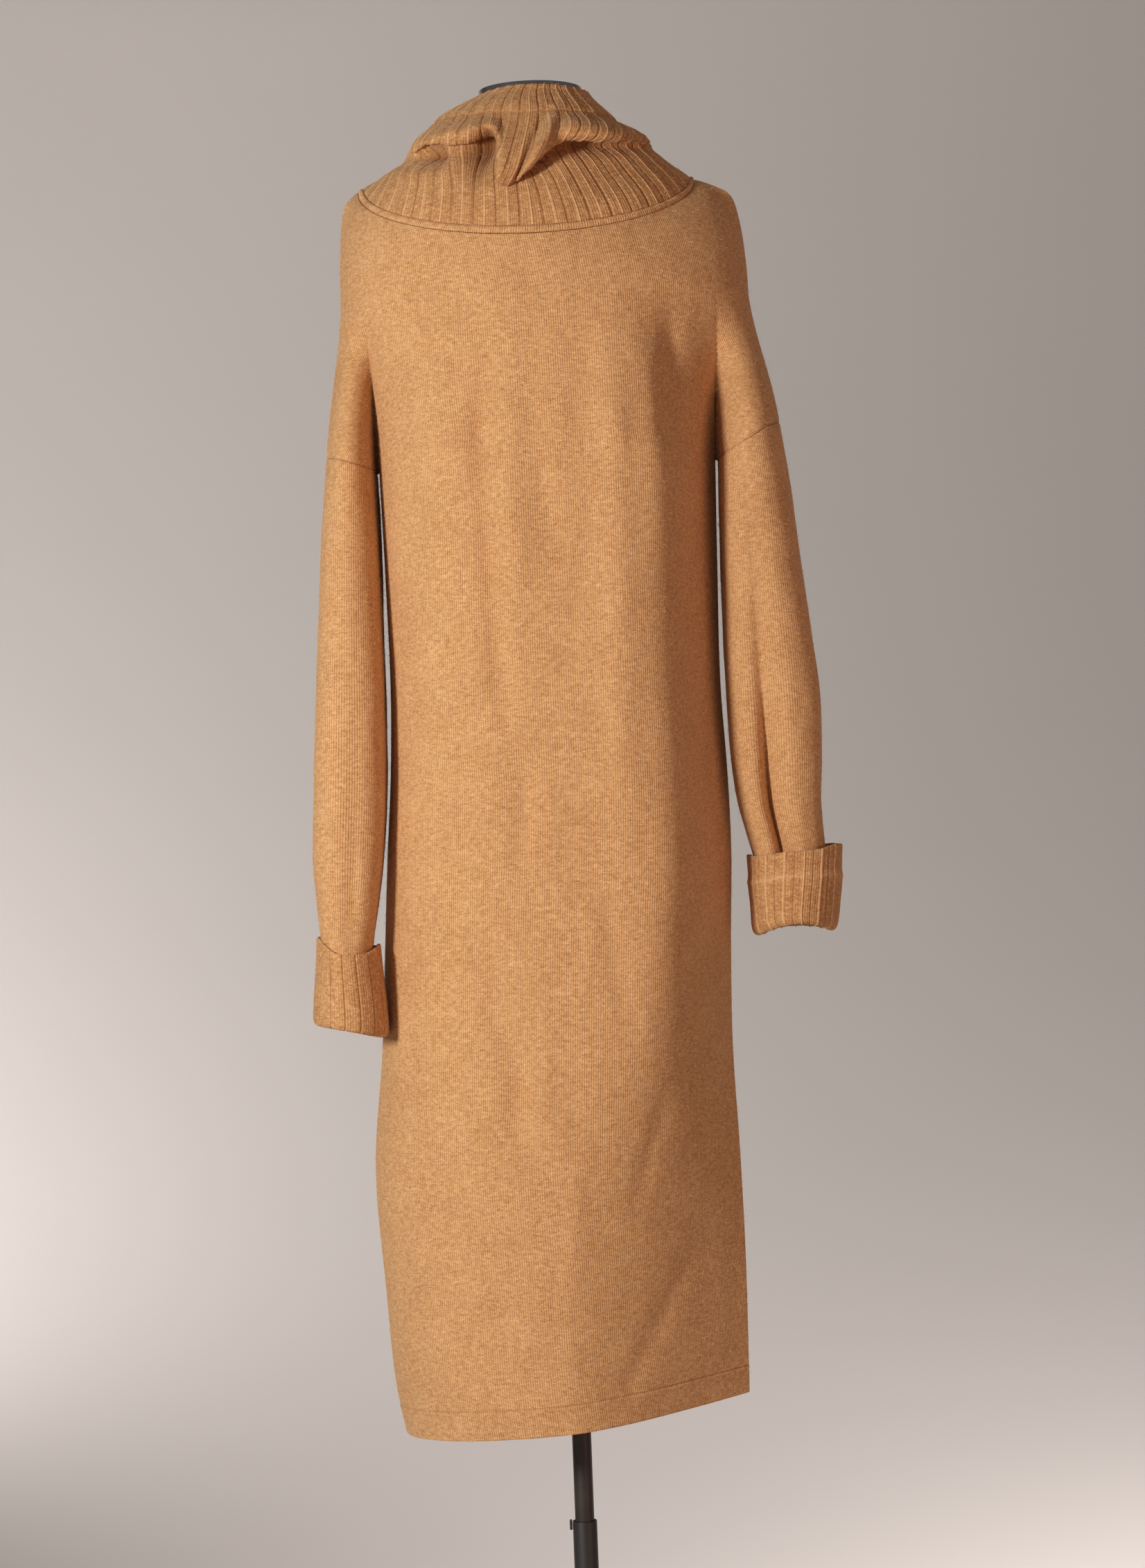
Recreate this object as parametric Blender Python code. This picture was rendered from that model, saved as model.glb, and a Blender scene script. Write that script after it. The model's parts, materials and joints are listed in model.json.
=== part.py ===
"""Sweater dress with a slouchy rib collar, standing on a limbless dress form and its stand.

Frame: metres, +Z up, origin on the floor at the middle of the base. The front faces -Y.
Left and right in every name are as seen by someone facing the front, so left is -X.
The tables are in millimetres and every shape is worked out from their rows. Cloth is a wall
built on a middle surface: panels, sleeves, cuffs, neck binding and collar are separate solids
that stand a small gap apart at each seam.
"""

import math
from typing import NamedTuple

import bmesh
import bpy
import numpy as np

MM = 0.001
CLOTH = 2.5  # one layer of the knit
DOUBLED = 4.6  # a turned-up hem or band, two layers
SEAM_GAP = 0.4
NECK_GAP = 1.0

BODY_CELLS = 20  # cells across the front of the body
CAP_CELLS = 8  # cells across the front of one sleeve
RIDGE_CELLS = 2  # cells of the shoulder seam between corner and neckline
COLLAR_CELLS = 40

HEM_HEIGHT = 521.0  # at the middle of the front
HEM_TILT = 0.0735  # the right side of the hem hangs higher
HEM_TILT_FADES = 800.0  # the height at which the tilt has gone
HEM_BAND = 26.0
HEM_STEP = 1.5  # the height over which the doubled hem thins to one layer
HEM_ROWS = 2  # rows of the skirt inside the doubled hem


class BodyRow(NamedTuple):
    """A level section of the body below the arms: its edges and the depth of each face."""

    z: float
    left: float
    right: float
    front: float
    back: float
    corner: float  # share of the way to the right edge where the front turns
    soft: float  # how gently it turns


BODY = (
    BodyRow(521, -159.5, 155.5, 113, 108, 0.16, 0.20),
    BodyRow(548, -165, 156, 114, 109, 0.18, 0.20),
    BodyRow(653, -174, 157, 116, 111, 0.32, 0.20),
    BodyRow(756, -179, 155.5, 117, 112, 0.50, 0.18),
    BodyRow(858, -169, 152.5, 117, 111, 0.62, 0.11),
    BodyRow(950, -163, 154.5, 117, 109, 0.66, 0.07),
    BodyRow(1040, -157, 158, 117, 107, 0.67, 0.06),
    BodyRow(1110, -151.5, 157, 117, 106, 0.67, 0.06),
    BodyRow(1180, -148.5, 154, 118, 105, 0.67, 0.06),
    BodyRow(1290, -149, 155, 119, 104, 0.67, 0.06),
    BodyRow(1395, -151, 157, 120, 103, 0.70, 0.05),
)
UNDERARM = 1395.0
SKIRT_ROWS = (653, 756, 858, 950, 1040, 1110, 1180, 1290, 1395)


class ChestSection(NamedTuple):
    """The level section where body and sleeves still hang as one, from shoulder to shoulder."""

    z: float = 1545.0
    left: float = -181.0
    right: float = 193.0
    front: float = 119.0
    back: float = 100.0
    left_fold: float = 30.0  # degrees round from the shoulder seam to the armhole fold
    right_fold: float = 33.0


class Neckline(NamedTuple):
    """The wide neck edge, an ellipse in a plane that dips to the front."""

    left: float = -162.0
    right: float = 148.0
    front: float = 112.0
    back: float = 88.0
    z: float = 1652.0
    dip: float = 60.0
    back_dip: float = 10.0
    fold: float = 22.0  # degrees round from the shoulder seam to the sleeve's last column


CHEST = ChestSection()
NECK = Neckline()
LEFT_CORNER = (-174.0, 1640.0)
RIGHT_CORNER = (178.0, 1639.0)
YOKE_STEPS = (0.0, 0.3, 0.62)  # share of the way from the chest section to the armhole
SHOULDER_STEPS = (0.36, 0.68, 1.0)  # share of the way from the chest section to the neckline


class SleeveRow(NamedTuple):
    """A section of a sleeve: heights and edges of its outer and inner sides, and its depth."""

    z_outer: float
    z_inner: float
    outer: float
    inner: float
    front: float
    back: float
    crease: float  # how deep the crease down its front is


LEFT_SLEEVE = (
    SleeveRow(1406, 1392, -199, -155.5, 66, 66, 0),
    SleeveRow(1330, 1325, -206, -154.5, 71, 56, 0),
    SleeveRow(1250, 1250, -211, -154.5, 78, 39, 0),
    SleeveRow(1180, 1180, -215.5, -154.5, 84, 24, 1),
    SleeveRow(1110, 1110, -219.5, -156, 87, 11, 2),
    SleeveRow(1045, 1045, -222.5, -160.5, 88, 1, 3),
    SleeveRow(1000, 1000, -220.5, -167, 86, -4, 3),
    SleeveRow(965, 962, -217.5, -173, 84, -12, 2),
    SleeveRow(945, 941, -215.5, -175.5, 82, -14, 0),
)
RIGHT_SLEEVE = (
    SleeveRow(1424, 1393, 217, 161.5, 66, 66, 0),
    SleeveRow(1350, 1340, 226, 161, 66, 63, 2),
    SleeveRow(1290, 1285, 232, 160.5, 64, 59, 4),
    SleeveRow(1235, 1232, 238, 160.5, 62, 55, 6),
    SleeveRow(1175, 1175, 243.5, 161, 58, 49, 9),
    SleeveRow(1120, 1120, 243.5, 163, 54, 43, 12),
    SleeveRow(1075, 1075, 241.5, 168.5, 50, 38, 14),
    SleeveRow(1036, 1030, 244, 180, 44, 33, 12),
    SleeveRow(1018, 1012, 244, 184, 42, 31, 5),
)
CREASE_AT = 4.5  # columns round from the outer side
CREASE_WIDTH = 0.8  # columns


class CuffRow(NamedTuple):
    """A ring of a cuff, from the end inside the sleeve, down round the fold and up outside."""

    z_outer: float
    z_inner: float
    z_front: float
    outer: float
    inner: float
    front: float
    back: float


LEFT_CUFF = (
    CuffRow(940.5, 936.5, 937.5, -215.5, -175.5, 82, -14),
    CuffRow(913, 906, 910, -217.5, -171.5, 83, -13),
    CuffRow(895, 882.5, 890, -219.5, -169.5, 83, -13),
    CuffRow(891, 878, 886.5, -223.5, -165.5, 87, -9),
    CuffRow(895, 882.5, 890, -227.5, -161.8, 91, -5),
    CuffRow(914, 906.5, 910.5, -226.5, -162.8, 91, -5),
    CuffRow(941, 933.5, 932, -224, -165, 90, -1),
    CuffRow(970.5, 960.5, 954, -222, -167, 89, 1),
)
RIGHT_CUFF = (
    CuffRow(1014, 1007.5, 1010, 244, 184, 42, 31),
    CuffRow(992, 988, 994, 243, 185, 43, 34),
    CuffRow(964, 962, 972, 243, 186, 43, 35),
    CuffRow(958, 956, 966, 248, 181.5, 47, 39),
    CuffRow(963, 961, 971, 252.5, 177, 51, 43),
    CuffRow(985, 983, 988, 256, 176, 51, 43),
    CuffRow(1008, 1004, 1009, 259, 174.5, 51, 43),
    CuffRow(1036, 1028, 1031, 261, 173.5, 50, 42),
)


class CollarRow(NamedTuple):
    """A ring of the collar, from its seam up: edges, depths and the heights at four sides."""

    left: float
    right: float
    front: float
    back: float
    z_left: float
    z_right: float
    z_front: float
    z_back: float


COLLAR = (
    CollarRow(-156, 143, 110.5, 85, 1655.5, 1655.5, 1599.5, 1650),
    CollarRow(-148, 136, 107, 82, 1660, 1661, 1618, 1658),
    CollarRow(-138, 127, 99, 78, 1665.5, 1667, 1640, 1665),
    CollarRow(-128, 119, 87, 72, 1670.5, 1673, 1659, 1670),
    CollarRow(-119, 112, 74, 64, 1676, 1679, 1674, 1676),
    CollarRow(-115, 109, 75, 65, 1681.5, 1684.5, 1685, 1683),
    CollarRow(-113.5, 107.5, 90, 72, 1684, 1686.5, 1680, 1685),
    CollarRow(-110, 105, 97, 75, 1691, 1691.5, 1688, 1692),
    CollarRow(-101, 94, 87, 70, 1702, 1698, 1699, 1703),
    CollarRow(-90, 80, 75, 64, 1712, 1706, 1708.5, 1712),
    CollarRow(-77, 68, 65, 58, 1720, 1717, 1720, 1721),
    CollarRow(-63, 57.5, 56, 54.5, 1726, 1727.5, 1729.5, 1729.5),
    CollarRow(-52, 52, 52, 52, 1729.5, 1735.5, 1736.5, 1736),
)
COLLAR_BAND_FROM = 9  # the row of the linking line, where the doubled band starts
COLLAR_BAND = 4.0  # the doubled band's thickness
BINDING = 2.9  # the neck binding's thickness
BEAK_AT = -27.0  # where the roll droops on to the lower collar
BEAK_LEFT = 9.0  # how far it spreads to either side
BEAK_RIGHT = 36.0
BEAK_DROP = (0, 0, 0, 4, 14, 30, 41, 38, 22, 4, 0, 0, 0)
BEAK_REACH = (0, -2, -4, -4, 2, 14, 17, 14, 7, 2, 0, 0, 0)


class Fold(NamedTuple):
    """A soft trough (negative) or ridge of the body, from its top to its bottom."""

    x_top: float
    z_top: float
    x_low: float
    z_low: float
    width: float
    height: float


FRONT_FOLDS = (
    Fold(-57, 1405, -48, 1165, 14, -8),
    Fold(-30, 1400, -28, 1220, 15, 3),
    Fold(54, 1450, 54, 1070, 20, 6),
    Fold(-98, 1440, -108, 1120, 20, 4),
    Fold(119, 1520, 115, 1370, 14, -7),
    Fold(-28, 1140, -32, 1010, 16, -5),
    Fold(-44, 900, -36, 780, 16, -4),
)
BACK_FOLDS = (
    Fold(-74, 1430, -66, 1180, 20, -8),
    Fold(10, 1420, 4, 1130, 22, 6),
    Fold(82, 1440, 72, 1230, 18, -7),
    Fold(-30, 1090, -44, 860, 20, -6),
    Fold(58, 980, 66, 740, 22, 5),
)

# The dress form, its neck cap and its stand.
FORM_TOP = 1727.0
FORM_BOTTOM = 820.0
FORM_SIDES = 32


class FormRow(NamedTuple):
    """A level section of the dress form."""

    z: float
    half_width: float
    front: float
    back: float


FORM = (
    FormRow(820, 116, 76, 84),
    FormRow(826, 124, 84, 94),
    FormRow(860, 128, 87, 98),
    FormRow(950, 129, 89, 99),
    FormRow(1020, 126, 88, 97),
    FormRow(1100, 116, 85, 86),
    FormRow(1180, 110, 83, 77),
    FormRow(1250, 120, 92, 80),
    FormRow(1330, 134, 105, 86),
    FormRow(1400, 138, 107, 89),
    FormRow(1480, 150, 101, 87),
    FormRow(1550, 162, 91, 81),
    FormRow(1600, 162, 80, 73),
    FormRow(1625, 155, 72, 68),
    FormRow(1640, 144, 66, 64),
    FormRow(1652, 122, 60, 60),
    FormRow(1663, 88, 55, 56),
    FormRow(1675, 62, 50, 52),
    FormRow(1695, 49, 46, 47),
    FormRow(1727, 46, 45, 45),
)
CAP_RADIUS = 47.5
CAP_TOP = 1741.5
CAP_EDGE = 1.5  # the chamfer round its top
CAP_RIM = 5.0
CAP_RECESS = 2.0
INNER_TUBE_RADIUS = 8.85
OUTER_TUBE_RADIUS = 11.2
OUTER_TUBE_WALL = 1.7
OUTER_TUBE_TOP = 420.0
TUBE_OVERLAP = 60.0  # from the base up to the foot of the inner tube
TUBE_EDGE = 0.6
BASE_RADIUS = 165.0
BASE_HEIGHT = 9.0
BASE_HUB_RADIUS = 24.0
BASE_HUB_HEIGHT = 30.0
TUBE_SIDES = 24


# ---------------------------------------------------------------- curves and rings


def along(rows, name, z):
    """A column of a table at height z, on a smooth curve through its rows."""
    heights = [row.z for row in rows]
    values = [getattr(row, name) for row in rows]
    slopes = np.gradient(values, heights)
    k = int(np.clip(np.searchsorted(heights, z) - 1, 0, len(rows) - 2))
    span = heights[k + 1] - heights[k]
    t = min(max((z - heights[k]) / span, 0.0), 1.0)
    start = (2 * t**3 - 3 * t**2 + 1) * values[k] + (t**3 - 2 * t**2 + t) * span * slopes[k]
    end = (3 * t**2 - 2 * t**3) * values[k + 1] + (t**3 - t**2) * span * slopes[k + 1]
    return float(start + end)


def fold_height(folds, x, z):
    """How far the folds push the cloth out at a place on a face."""
    total = 0.0
    for fold in folds:
        share = (fold.z_top - z) / (fold.z_top - fold.z_low)
        middle = fold.x_top + (fold.x_low - fold.x_top) * share
        fade = math.exp(-((2 * share - 1) ** 4))
        total += fold.height * fade * math.exp(-(((x - middle) / fold.width) ** 2))
    return total


def hem_shift(x, z):
    """The hem's tilt, which fades out up the skirt."""
    share = max(0.0, (HEM_TILT_FADES - z) / (HEM_TILT_FADES - HEM_HEIGHT))
    return HEM_TILT * x * min(share, 1.0)


def front_section(across, corner, soft):
    """The front's depth from one edge (-1) to the other (1): round on the left, a corner right."""
    if across < 0:
        return math.sqrt(1 - across**2)
    first, here, last = (soft * math.log1p(math.exp((at - corner) / soft)) for at in (0, across, 1))
    return 1 - (here - first) / (last - first)


def body_arc(z, face):
    """Half a section of the body, from its left side seam to its right one."""
    left = along(BODY, "left", z)
    right = along(BODY, "right", z)
    depth = along(BODY, "front" if face < 0 else "back", z)
    folds = FRONT_FOLDS if face < 0 else BACK_FOLDS
    middle = (left + right) / 2
    half = (right - left) / 2
    points = []
    for angle in np.linspace(0, math.pi, BODY_CELLS + 1):
        x = middle - half * math.cos(angle)
        swell = depth * math.sin(angle)
        if face < 0:
            across = min(max(-math.cos(angle), -1.0), 1.0)
            swell = depth * front_section(across, along(BODY, "corner", z), along(BODY, "soft", z))
        swell += fold_height(folds, x, z) * math.sin(angle) ** 2
        points.append((x, face * swell, z + hem_shift(x, z)))
    return np.array(points)


def sleeve_arc(row, face):
    """Half a section of a sleeve, from its outer side to its inner one."""
    middle = (row.outer + row.inner) / 2
    half = (row.outer - row.inner) / 2
    middle_y = (row.back - row.front) / 2
    depth = (row.back + row.front) / 2
    points = []
    for column in range(CAP_CELLS + 1):
        angle = math.pi * column / CAP_CELLS
        swell = math.sin(angle)
        dent = row.crease * math.exp(-(((column - CREASE_AT) / CREASE_WIDTH) ** 2))
        if face > 0:
            dent *= 0.5
        x = middle + half * math.cos(angle)
        z = row.z_outer + (row.z_inner - row.z_outer) * (1 - math.cos(angle)) / 2
        points.append((x, middle_y + face * (depth * swell - dent), z))
    return np.array(points)


def chest_arc(face):
    """Half the chest section, with a column for each column of the sleeves and body."""
    middle = (CHEST.left + CHEST.right) / 2
    half = (CHEST.right - CHEST.left) / 2
    depth = CHEST.front if face < 0 else CHEST.back
    angles = fan(CHEST.left_fold, CHEST.right_fold, 0)
    xs = middle - half * np.cos(angles)
    return np.column_stack((xs, face * depth * np.sin(angles), np.full(len(xs), CHEST.z)))


def fan(left_fold, right_fold, skipped):
    """Angles round half a ring: the sleeve's columns up to the fold, then the body's."""
    left = np.linspace(0, left_fold, CAP_CELLS + 1 - skipped)
    body = np.linspace(left_fold, 180 - right_fold, BODY_CELLS + 1)
    right = np.linspace(180 - right_fold, 180, CAP_CELLS + 1 - skipped)
    return np.radians(np.concatenate((left, body[1:], right[1:])))


def neckline_point(angle, face):
    middle = (NECK.left + NECK.right) / 2
    half = (NECK.right - NECK.left) / 2
    depth = NECK.front if face < 0 else NECK.back
    dip = NECK.dip if face < 0 else NECK.back_dip
    reach = math.sin(angle)
    return (middle - half * math.cos(angle), face * depth * reach, NECK.z - dip * reach)


def top_arc(face):
    """Half the top edge: the shoulder seam from its corner in, the neckline, and back out."""
    neck = [neckline_point(a, face) for a in fan(NECK.fold, NECK.fold, RIDGE_CELLS)]
    points = list(neck)
    for corner, end in ((LEFT_CORNER, neck[0]), (RIGHT_CORNER, neck[-1])):
        ridge = []
        for step in range(RIDGE_CELLS):
            share = step / RIDGE_CELLS
            x = corner[0] + (end[0] - corner[0]) * share
            z = corner[1] + (end[2] - corner[1]) * share**0.8
            ridge.append((x, 0.0, z))
        points = ridge + points if corner is LEFT_CORNER else points + ridge[::-1]
    return np.array(points)


def yoke_rows(face):
    """Rows of one face from the armholes up to the shoulders and the neckline."""
    chest = chest_arc(face)
    left = sleeve_arc(LEFT_SLEEVE[0], face)
    right = sleeve_arc(RIGHT_SLEEVE[0], face)[::-1]
    body = body_arc(UNDERARM, face)
    armhole = np.concatenate((left[:-1], body, right[1:]))
    rows = [armhole]
    for share in reversed(YOKE_STEPS):
        rows.append(chest + (armhole - chest) * share)
    top = top_arc(face)
    roundness = np.abs(np.linspace(-1, 1, len(top))) ** 0.7
    for share in SHOULDER_STEPS:
        inward = (1 - roundness) * share + roundness * (1 - math.cos(share * math.pi / 2))
        upward = (1 - roundness) * share + roundness * math.sin(share * math.pi / 2)
        row = chest + (top - chest) * inward[:, None]
        row[:, 2] = chest[:, 2] + (top[:, 2] - chest[:, 2]) * upward
        rows.append(row)
    return np.array(rows)


def closed(front, back):
    """Rows of rings from rows of front and back halves that share both ends."""
    return np.concatenate((front, back[:, -2:0:-1]), axis=1)


def normals_of(rings, below=None, above=None):
    """Outward directions on rows of rings, with a neighbouring row past either end if given."""
    padded = [ring for ring in rings]
    padded.insert(0, rings[0] if below is None else below)
    padded.append(rings[-1] if above is None else above)
    padded = np.array(padded)
    along_rows = padded[2:] - padded[:-2]
    round_rings = np.roll(rings, -1, axis=1) - np.roll(rings, 1, axis=1)
    outward = np.cross(round_rings, along_rows)
    return outward / np.linalg.norm(outward, axis=2, keepdims=True)


# ---------------------------------------------------------------- solids


def material(name, colour, roughness, metallic=0.0):
    made = bpy.data.materials.new(name)
    made.use_nodes = True
    shader = made.node_tree.nodes["Principled BSDF"]
    shader.inputs["Base Color"].default_value = (*colour, 1.0)
    shader.inputs["Roughness"].default_value = roughness
    shader.inputs["Metallic"].default_value = metallic
    made.diffuse_color = (*colour, 1.0)
    return made


def add_object(name, mesh, finish):
    obj = bpy.data.objects.new(name, mesh)
    bpy.context.scene.collection.objects.link(obj)
    mesh.materials.append(finish)
    mesh.shade_smooth()
    mesh.set_sharp_from_angle(angle=math.radians(45))
    return obj


def wall(name, outer, inner, cells, finish):
    """A closed wall between two sheets of points, each cell four indices into both."""
    rims = {}
    for cell in cells:
        for start, end in zip(cell, cell[1:] + cell[:1]):
            if (end, start) in rims:
                del rims[end, start]
            else:
                rims[start, end] = True
    count = len(outer)
    faces = list(cells)
    faces += [tuple(count + i for i in reversed(cell)) for cell in cells]
    faces += [(end, start, count + start, count + end) for start, end in rims]
    used = sorted({i for face in faces for i in face})
    place = {old: new for new, old in enumerate(used)}
    points = np.concatenate((outer, inner))[used] * MM
    mesh = bpy.data.meshes.new(name)
    mesh.from_pydata(points.tolist(), [], [tuple(place[i] for i in face) for face in faces])
    tool = bmesh.new()
    tool.from_mesh(mesh)
    bmesh.ops.triangulate(tool, faces=tool.faces)
    bmesh.ops.recalc_face_normals(tool, faces=tool.faces)
    tool.to_mesh(mesh)
    tool.free()
    return add_object(name, mesh, finish)


def tube_wall(name, rings, outward, thickness, finish):
    """A tube of cloth open at both ends, its thickness given for each ring."""
    rows, columns = rings.shape[:2]
    half = np.broadcast_to(np.asarray(thickness, float), rows)[:, None, None] / 2
    outer = (rings + outward * half).reshape(-1, 3)
    inner = (rings - outward * half).reshape(-1, 3)
    cells = []
    for row in range(rows - 1):
        for column in range(columns):
            beside = (column + 1) % columns
            low = row * columns
            high = low + columns
            cells.append((low + column, low + beside, high + beside, high + column))
    return wall(name, outer, inner, cells, finish)


def seam_side(points, columns, face):
    """Moves the columns on a seam a little towards their own face."""
    points[:, columns, 1] += face * SEAM_GAP / 2


def make_panel(name, face, skirt, skirt_out, yoke, yoke_out, finish):
    """The front or back: skirt rows between the side seams, then yoke rows over the sleeves."""
    inside = np.full(len(skirt), CLOTH / 2)
    inside[:HEM_ROWS] = DOUBLED - CLOTH / 2
    skirt_outer = skirt + skirt_out * CLOTH / 2
    skirt_inner = skirt - skirt_out * inside[:, None, None]
    yoke_outer = yoke + yoke_out * CLOTH / 2
    yoke_inner = yoke - yoke_out * CLOTH / 2
    for sheet in (skirt_outer, skirt_inner):
        seam_side(sheet, (0, -1), face)
    for sheet in (yoke_outer, yoke_inner):
        seam_side(sheet, (0, -1), face)
        ridge = list(range(1, RIDGE_CELLS + 1))
        seam_side(sheet[-1:], ridge + [-1 - i for i in ridge], face)
        for corner in (CAP_CELLS, CAP_CELLS + BODY_CELLS):
            sheet[0, corner, 1] += face * 4 * SEAM_GAP
    outer = np.concatenate((skirt_outer.reshape(-1, 3), yoke_outer.reshape(-1, 3)))
    inner = np.concatenate((skirt_inner.reshape(-1, 3), yoke_inner.reshape(-1, 3)))
    wide = yoke.shape[1]
    narrow = skirt.shape[1]
    first = len(skirt) * narrow
    cells = []
    for row in range(len(skirt)):
        for column in range(narrow - 1):
            low = row * narrow + column
            high = low + narrow
            if row == len(skirt) - 1:
                high = first + CAP_CELLS + column
            cells.append((low, low + 1, high + 1, high))
    for row in range(len(yoke) - 1):
        for column in range(wide - 1):
            low = first + row * wide + column
            cells.append((low, low + 1, low + wide + 1, low + wide))
    return wall(name, outer, inner, cells, finish)


def sleeve_rings(rows):
    return closed(
        np.array([sleeve_arc(row, -1) for row in rows]),
        np.array([sleeve_arc(row, 1) for row in rows]),
    )


def ring_columns():
    """Where the left sleeve's, the right sleeve's and the body's columns are in a yoke ring."""
    wide = 2 * CAP_CELLS + BODY_CELLS
    left = list(range(CAP_CELLS + 1)) + list(range(2 * wide - CAP_CELLS + 1, 2 * wide))
    right = list(range(wide, wide - CAP_CELLS - 1, -1))
    right += list(range(wide + CAP_CELLS - 1, wide, -1))
    body = list(range(CAP_CELLS, wide - CAP_CELLS + 1))
    body += list(range(wide + CAP_CELLS + 1, 2 * wide - CAP_CELLS))
    return left, right, body


def half_of(rings, face):
    """The front half of rows of rings, or the back half in the same order of columns."""
    facing = rings if face < 0 else np.roll(rings[:, ::-1], 1, axis=1)
    return facing[:, : rings.shape[1] // 2 + 1].copy()


def make_body_and_sleeves(finish):
    """Both panels and both sleeves, on directions that meet at each seam."""
    hem_line = HEM_HEIGHT + HEM_BAND
    heights = [HEM_HEIGHT, hem_line, hem_line + HEM_STEP, *SKIRT_ROWS]
    skirt = closed(
        np.array([body_arc(z, -1) for z in heights]),
        np.array([body_arc(z, 1) for z in heights]),
    )[:-1]
    yoke = closed(yoke_rows(-1), yoke_rows(1))
    left, right, body = ring_columns()
    arms = (("sleeve_left", LEFT_SLEEVE, left, 1), ("sleeve_right", RIGHT_SLEEVE, right, -1))
    below = yoke[0] - (0, 0, 1)
    for _, rows, columns, _ in arms:
        below[columns] = sleeve_rings(rows)[1]
    below[body] = skirt[-1]
    skirt_out = normals_of(skirt, above=yoke[0][body])
    yoke_out = normals_of(yoke, below=below)
    wide = 2 * CAP_CELLS + BODY_CELLS
    for step in range(-RIDGE_CELLS, RIDGE_CELLS + 1):
        for column in (step, wide + step):
            level = yoke_out[-1, column] * (1, 0, 1)
            yoke_out[-1, column] = level / np.linalg.norm(level)
    for name, rows, columns, turn in arms:
        rings = sleeve_rings(rows)
        outward = turn * normals_of(rings[::-1])[::-1]
        underarm = outward[0, CAP_CELLS].copy()
        outward[0] = yoke_out[0][columns]
        outward[0, CAP_CELLS] = underarm
        rings[0, :, 2] -= 2 * SEAM_GAP
        tube_wall(name, rings, outward, CLOTH, finish)
    for name, face in (("front_panel", -1), ("back_panel", 1)):
        make_panel(
            name,
            face,
            half_of(skirt, face),
            half_of(skirt_out, face),
            half_of(yoke, face),
            half_of(yoke_out, face),
            finish,
        )


def make_cuff(name, rows, finish):
    rings = []
    for row in rows:
        middle = (row.outer + row.inner) / 2
        half = (row.outer - row.inner) / 2
        ring = []
        for column in range(2 * CAP_CELLS):
            angle = math.pi * column / CAP_CELLS
            reach = math.sin(angle)
            y = (row.back - row.front) / 2 - (row.back + row.front) / 2 * reach
            mean = (row.z_outer + row.z_inner) / 2
            level = mean + (row.z_outer - mean) * math.cos(angle)
            sag = row.z_front - mean
            z = level + (sag * reach**2 if reach > 0 else 0.4 * sag * reach**2)
            ring.append((middle + half * math.cos(angle), y, z))
        rings.append(ring)
    rings = np.array(rings)
    tube_wall(name, rings, normals_of(rings), CLOTH, finish)


def collar_ring(row, index):
    middle = (row.left + row.right) / 2
    half = (row.right - row.left) / 2
    rise = index / (len(COLLAR) - 1)
    ring = []
    for column in range(COLLAR_CELLS):
        angle = 2 * math.pi * column / COLLAR_CELLS
        reach = abs(math.sin(angle))
        toward = reach ** (1 + rise)
        front = math.sin(angle) > 0
        x = middle - half * math.cos(angle)
        y = -row.front * reach if front else row.back * reach
        side = row.z_left + (row.z_right - row.z_left) * (1 - math.cos(angle)) / 2
        z = side + ((row.z_front if front else row.z_back) - side) * toward
        if front:
            width = BEAK_LEFT if x < BEAK_AT else BEAK_RIGHT
            droop = math.exp(-(((x - BEAK_AT) / width) ** 2))
            z -= BEAK_DROP[index] * droop
            y -= BEAK_REACH[index] * droop
        ring.append((x, y, z))
    return ring


def make_collar(finish):
    rings = np.array([collar_ring(row, index) for index, row in enumerate(COLLAR)])
    thickness = [CLOTH] * COLLAR_BAND_FROM
    thickness += [COLLAR_BAND] * (len(COLLAR) - COLLAR_BAND_FROM)
    tube_wall("collar", rings, normals_of(rings), thickness, finish)


def make_binding(finish):
    """The narrow band between the neckline and the collar."""
    low = []
    step = 360 / COLLAR_CELLS
    for face, angles in ((-1, np.arange(0, 180, step)), (1, np.arange(180, 0, -step))):
        low += [neckline_point(math.radians(a), face) for a in angles]
    low = np.array(low)
    high = np.array(collar_ring(COLLAR[0], 0))
    way = high - low
    length = np.linalg.norm(way, axis=1, keepdims=True)
    rings = np.array([low + way * NECK_GAP / length, high - way * 0.5 * NECK_GAP / length])
    tube_wall("neck_binding", rings, normals_of(rings), BINDING, finish)


def lathe(name, profile, sides, finish):
    """A turned solid from (radius, height) points, the first and last on the axis or a loop."""
    tool = bmesh.new()
    verts = [tool.verts.new((radius * MM, 0, z * MM)) for radius, z in profile]
    edges = [tool.edges.new(pair) for pair in zip(verts, verts[1:])]
    if profile[0][0] > 0:
        edges.append(tool.edges.new((verts[-1], verts[0])))
    bmesh.ops.spin(
        tool,
        geom=verts + edges,
        cent=(0, 0, 0),
        axis=(0, 0, 1),
        angle=2 * math.pi,
        steps=sides,
        use_merge=True,
    )
    bmesh.ops.remove_doubles(tool, verts=tool.verts, dist=1e-6)
    bmesh.ops.recalc_face_normals(tool, faces=tool.faces)
    mesh = bpy.data.meshes.new(name)
    tool.to_mesh(mesh)
    tool.free()
    return add_object(name, mesh, finish)


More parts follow.
